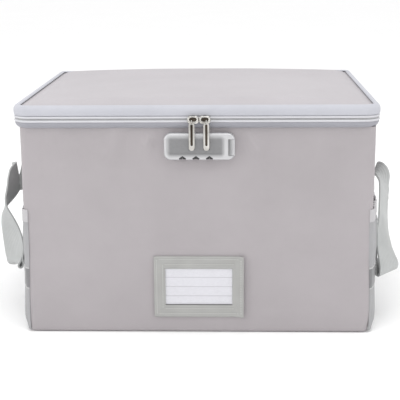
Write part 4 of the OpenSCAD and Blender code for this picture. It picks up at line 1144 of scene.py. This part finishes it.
right_route = (
    sewn_start,
    (2.2, -105, -12, 0.05, 1, 0),
    (7.5, -106.5, -22.5, 0.22, 0.97, 0),
    (12.5, -110.5, -28, 0.5, 0.86, 0),
    (17, -114.5, -27.5, 0.65, 0.75, 0),
    (17.5, -116, -19, 0.67, 0.73, -0.05),
    (15, -113.5, -8, 0.62, 0.76, -0.15),
    (13.2, -107.5, 3, 0.56, 0.78, -0.25),
    (13, -99.5, 12, 0.5, 0.79, -0.33),
    (13.5, -90.5, 22, 0.42, 0.75, -0.5),
    (14.3, -81, 32, 0.38, 0.69, -0.6),
    (15.4, -71, 41, 0.36, 0.66, -0.66),
    (16.4, -63, 49, 0.36, 0.61, -0.71),
    (17.3, -54, 56, 0.37, 0.56, -0.74),
    (17, -45, 60, 0.45, 0.51, -0.72),
    (16.5, -36, 64, 0.55, 0.5, -0.62),
    (14.5, -27, 67, 0.62, 0.6, -0.45),
    (12.5, -17, 68, 0.6, 0.78, -0.1),
    (11.5, -6, 66.5, 0.5, 0.75, 0.4),
    (12, 5, 62.5, 0.4, 0.62, 0.65),
    (13.5, 17, 58, 0.36, 0.5, 0.77),
    (16.5, 38, 47, 0.25, 0.53, 0.8),
    (18.3, 59, 32, 0.2, 0.55, 0.8),
    (21.5, 80, 18, 0.2, 0.57, 0.8),
    (24, 97, 4, 0.2, 0.62, 0.75),
    (22.5, 110, -9, 0.2, 0.75, 0.62),
    *sewn_end,
)
crest_x, sewn_line_z, webbing_w, webbing_t = 0.205, 0.086, 0.036, 0.0018


def course(route, steps):
    """Smooth the stations of a strap into its middle line and the way of its width."""
    rows = np.array(route, dtype=float)
    out = []
    for i in range(len(rows) - 1):
        p, q = rows[max(0, i - 1)], rows[i]
        r, s = rows[i + 1], rows[min(len(rows) - 1, i + 2)]
        for k in range(steps):
            u = k / steps
            out.append(0.5 * (2 * q + (r - p) * u + (2 * p - 5 * q + 4 * r - s) * u * u
                              + (3 * q - p - 3 * r + s) * u ** 3))
    out.append(rows[-1])
    out = np.array(out)
    middle = out[:, :3] * 0.001 + np.array([crest_x, 0, sewn_line_z])
    along = np.gradient(middle, axis=0)
    along /= np.linalg.norm(along, axis=1)[:, None]
    width = out[:, 3:] - (out[:, 3:] * along).sum(axis=1)[:, None] * along
    return middle, width / np.linalg.norm(width, axis=1)[:, None]


def ribbon(name, side, middle, width, length):
    """A strap along its middle line, with a map whose V runs along it."""
    count = len(middle)
    piece = start_piece(name, bpy.ops.mesh.primitive_grid_add, x_subdivisions=16,
                        y_subdivisions=count - 1, size=1.0)

    def row_of(at):
        return np.rint((at[:, 1] + 0.5) * (count - 1)).astype(int)

    lay_map(piece, lambda at, middle, normal: (at[:, 0] * webbing_w, length[row_of(at)]))
    spots = points_of(piece)
    row = row_of(spots)
    place = middle[row] + width[row] * (spots[:, 0] * webbing_w)[:, None]
    place[:, 0] *= side
    set_points(piece, place)
    return piece


def ribbed_webbing():
    """Webbing: ribs along its length, crossed by fine threads, with some fuzz and painted shade in the
    hollows between the ribs.
    """
    strap = Finish("ribbed webbing", {"Roughness": 0.8, "Sheen Weight": 0.15})
    height = strap.calculate("MULTIPLY_ADD", bands(strap, "Y", 0.0011), 0.35, bands(strap, "X", 0.0030))
    # Painted shade: the colour follows the height of the ribs, darker in their hollows.
    shade = strap.calculate("MULTIPLY_ADD", height, 0.25, strap.noise(30.0, 6.0))
    strap.feed("Base Color", strap.tone(shade, (0.325, 0.333, 0.331), (0.455, 0.465, 0.462), 0.3, 0.95))
    strap.relief(height, 0.6, 0.0003)
    return strap.material


webbing = ribbed_webbing()
patch_top, patch_step, row_steps = 0.122, 0.004, 6
grey_thread = spun("grey thread", (0.25, 0.25, 0.25), (0.33, 0.33, 0.33), 0.6, 2500.0)


def sewn_rows(y):
    """The middle line of a strap's sewn end, from its cut end down to the free part."""
    heights = np.arange(patch_top, sewn_line_z - 0.0005, -patch_step)
    middle = np.stack([np.full_like(heights, crest_x + 0.0014), np.full_like(heights, y), heights], axis=1)
    return middle, np.tile([0.0, 1.0, 0.0], (len(heights), 1))


def strap_piece(name, side, middle, width, sewn):
    """A stretch of strap. Where it is sewn, it lies on the pocket's face."""
    length = np.concatenate([[0], np.cumsum(np.linalg.norm(np.diff(middle, axis=0), axis=1))])
    strap = ribbon(name, side, middle, width, length)
    if sewn:
        spots = points_of(strap)
        on_face = pocket_stand(spots[:, 1], spots[:, 2], side) + 0.0012
        held = ease(spots[:, 2], 0.076, 0.090)
        out = np.maximum(side * spots[:, 0] * (1 - held) + on_face * held, on_face)
        spots[:, 0] = side * out
        set_points(strap, spots)
    thicken(strap, webbing_t, angle=50, offset=0.0)
    return strap


def patch_stitches(name, side, middle_y):
    """Box stitching on a sewn end: a square of stitches with a cross inside it."""
    left, right, low, high = middle_y - 0.0145, middle_y + 0.0145, 0.0905, 0.1185
    corners = [(left, low), (right, low), (right, high), (left, high)]
    lines = list(zip(corners, corners[1:] + corners[:1]))
    lines += [(corners[0], corners[2]), (corners[1], corners[3])]
    places = []
    for y, z, way_y, way_z in along_seams(lines, 0.0032):
        x = side * (float(pocket_stand(np.array([y]), np.array([z]), side)[0]) + 0.0022)
        along, out = Vector((0, way_y, way_z)), Vector((side, 0, 0))
        turn = Matrix((along, out.cross(along), out)).transposed().to_4x4()
        places.append(Matrix.Translation((x, y, z)) @ turn)
    stitch = small_block("stitch", (-0.0012, -0.0002, -0.0003), (0.0012, 0.0002, 0.0002), 0.0001)
    finish_piece(repeat(name, stitch, places), grey_thread, "box", "webbing")


front_y, back_y = -0.105, 0.120
for side, hand, route in ((-1, "left", left_route), (1, "right", right_route)):
    middle, width = course(route, row_steps)
    first, last = 3 * row_steps, len(middle) - 1 - 2 * row_steps
    loop = strap_piece(f"{hand}_strap", side, middle[first:last + 1], width[first:last + 1], False)
    finish_piece(loop, webbing, f"{hand}_handle", "webbing", f"{hand}_handle")
    for end, rows, top_y, blend_low, ends in (
        ("front", slice(0, first + 1), front_y, 0.0690, [f"{hand}_handle_ends"]),
        ("back", slice(None, last - 1, -1), back_y, 0.0745, []),
    ):
        top_middle, top_width = sewn_rows(top_y)
        foot = strap_piece(f"{hand}_strap_{end}", side, np.concatenate([top_middle, middle[rows]]),
                           np.concatenate([top_width, width[rows]]), True)
        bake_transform(foot)
        finish_piece(foot, webbing, None, "webbing", *ends)
        patch_stitches(f"{hand}_{end}_stitches", side, top_y)
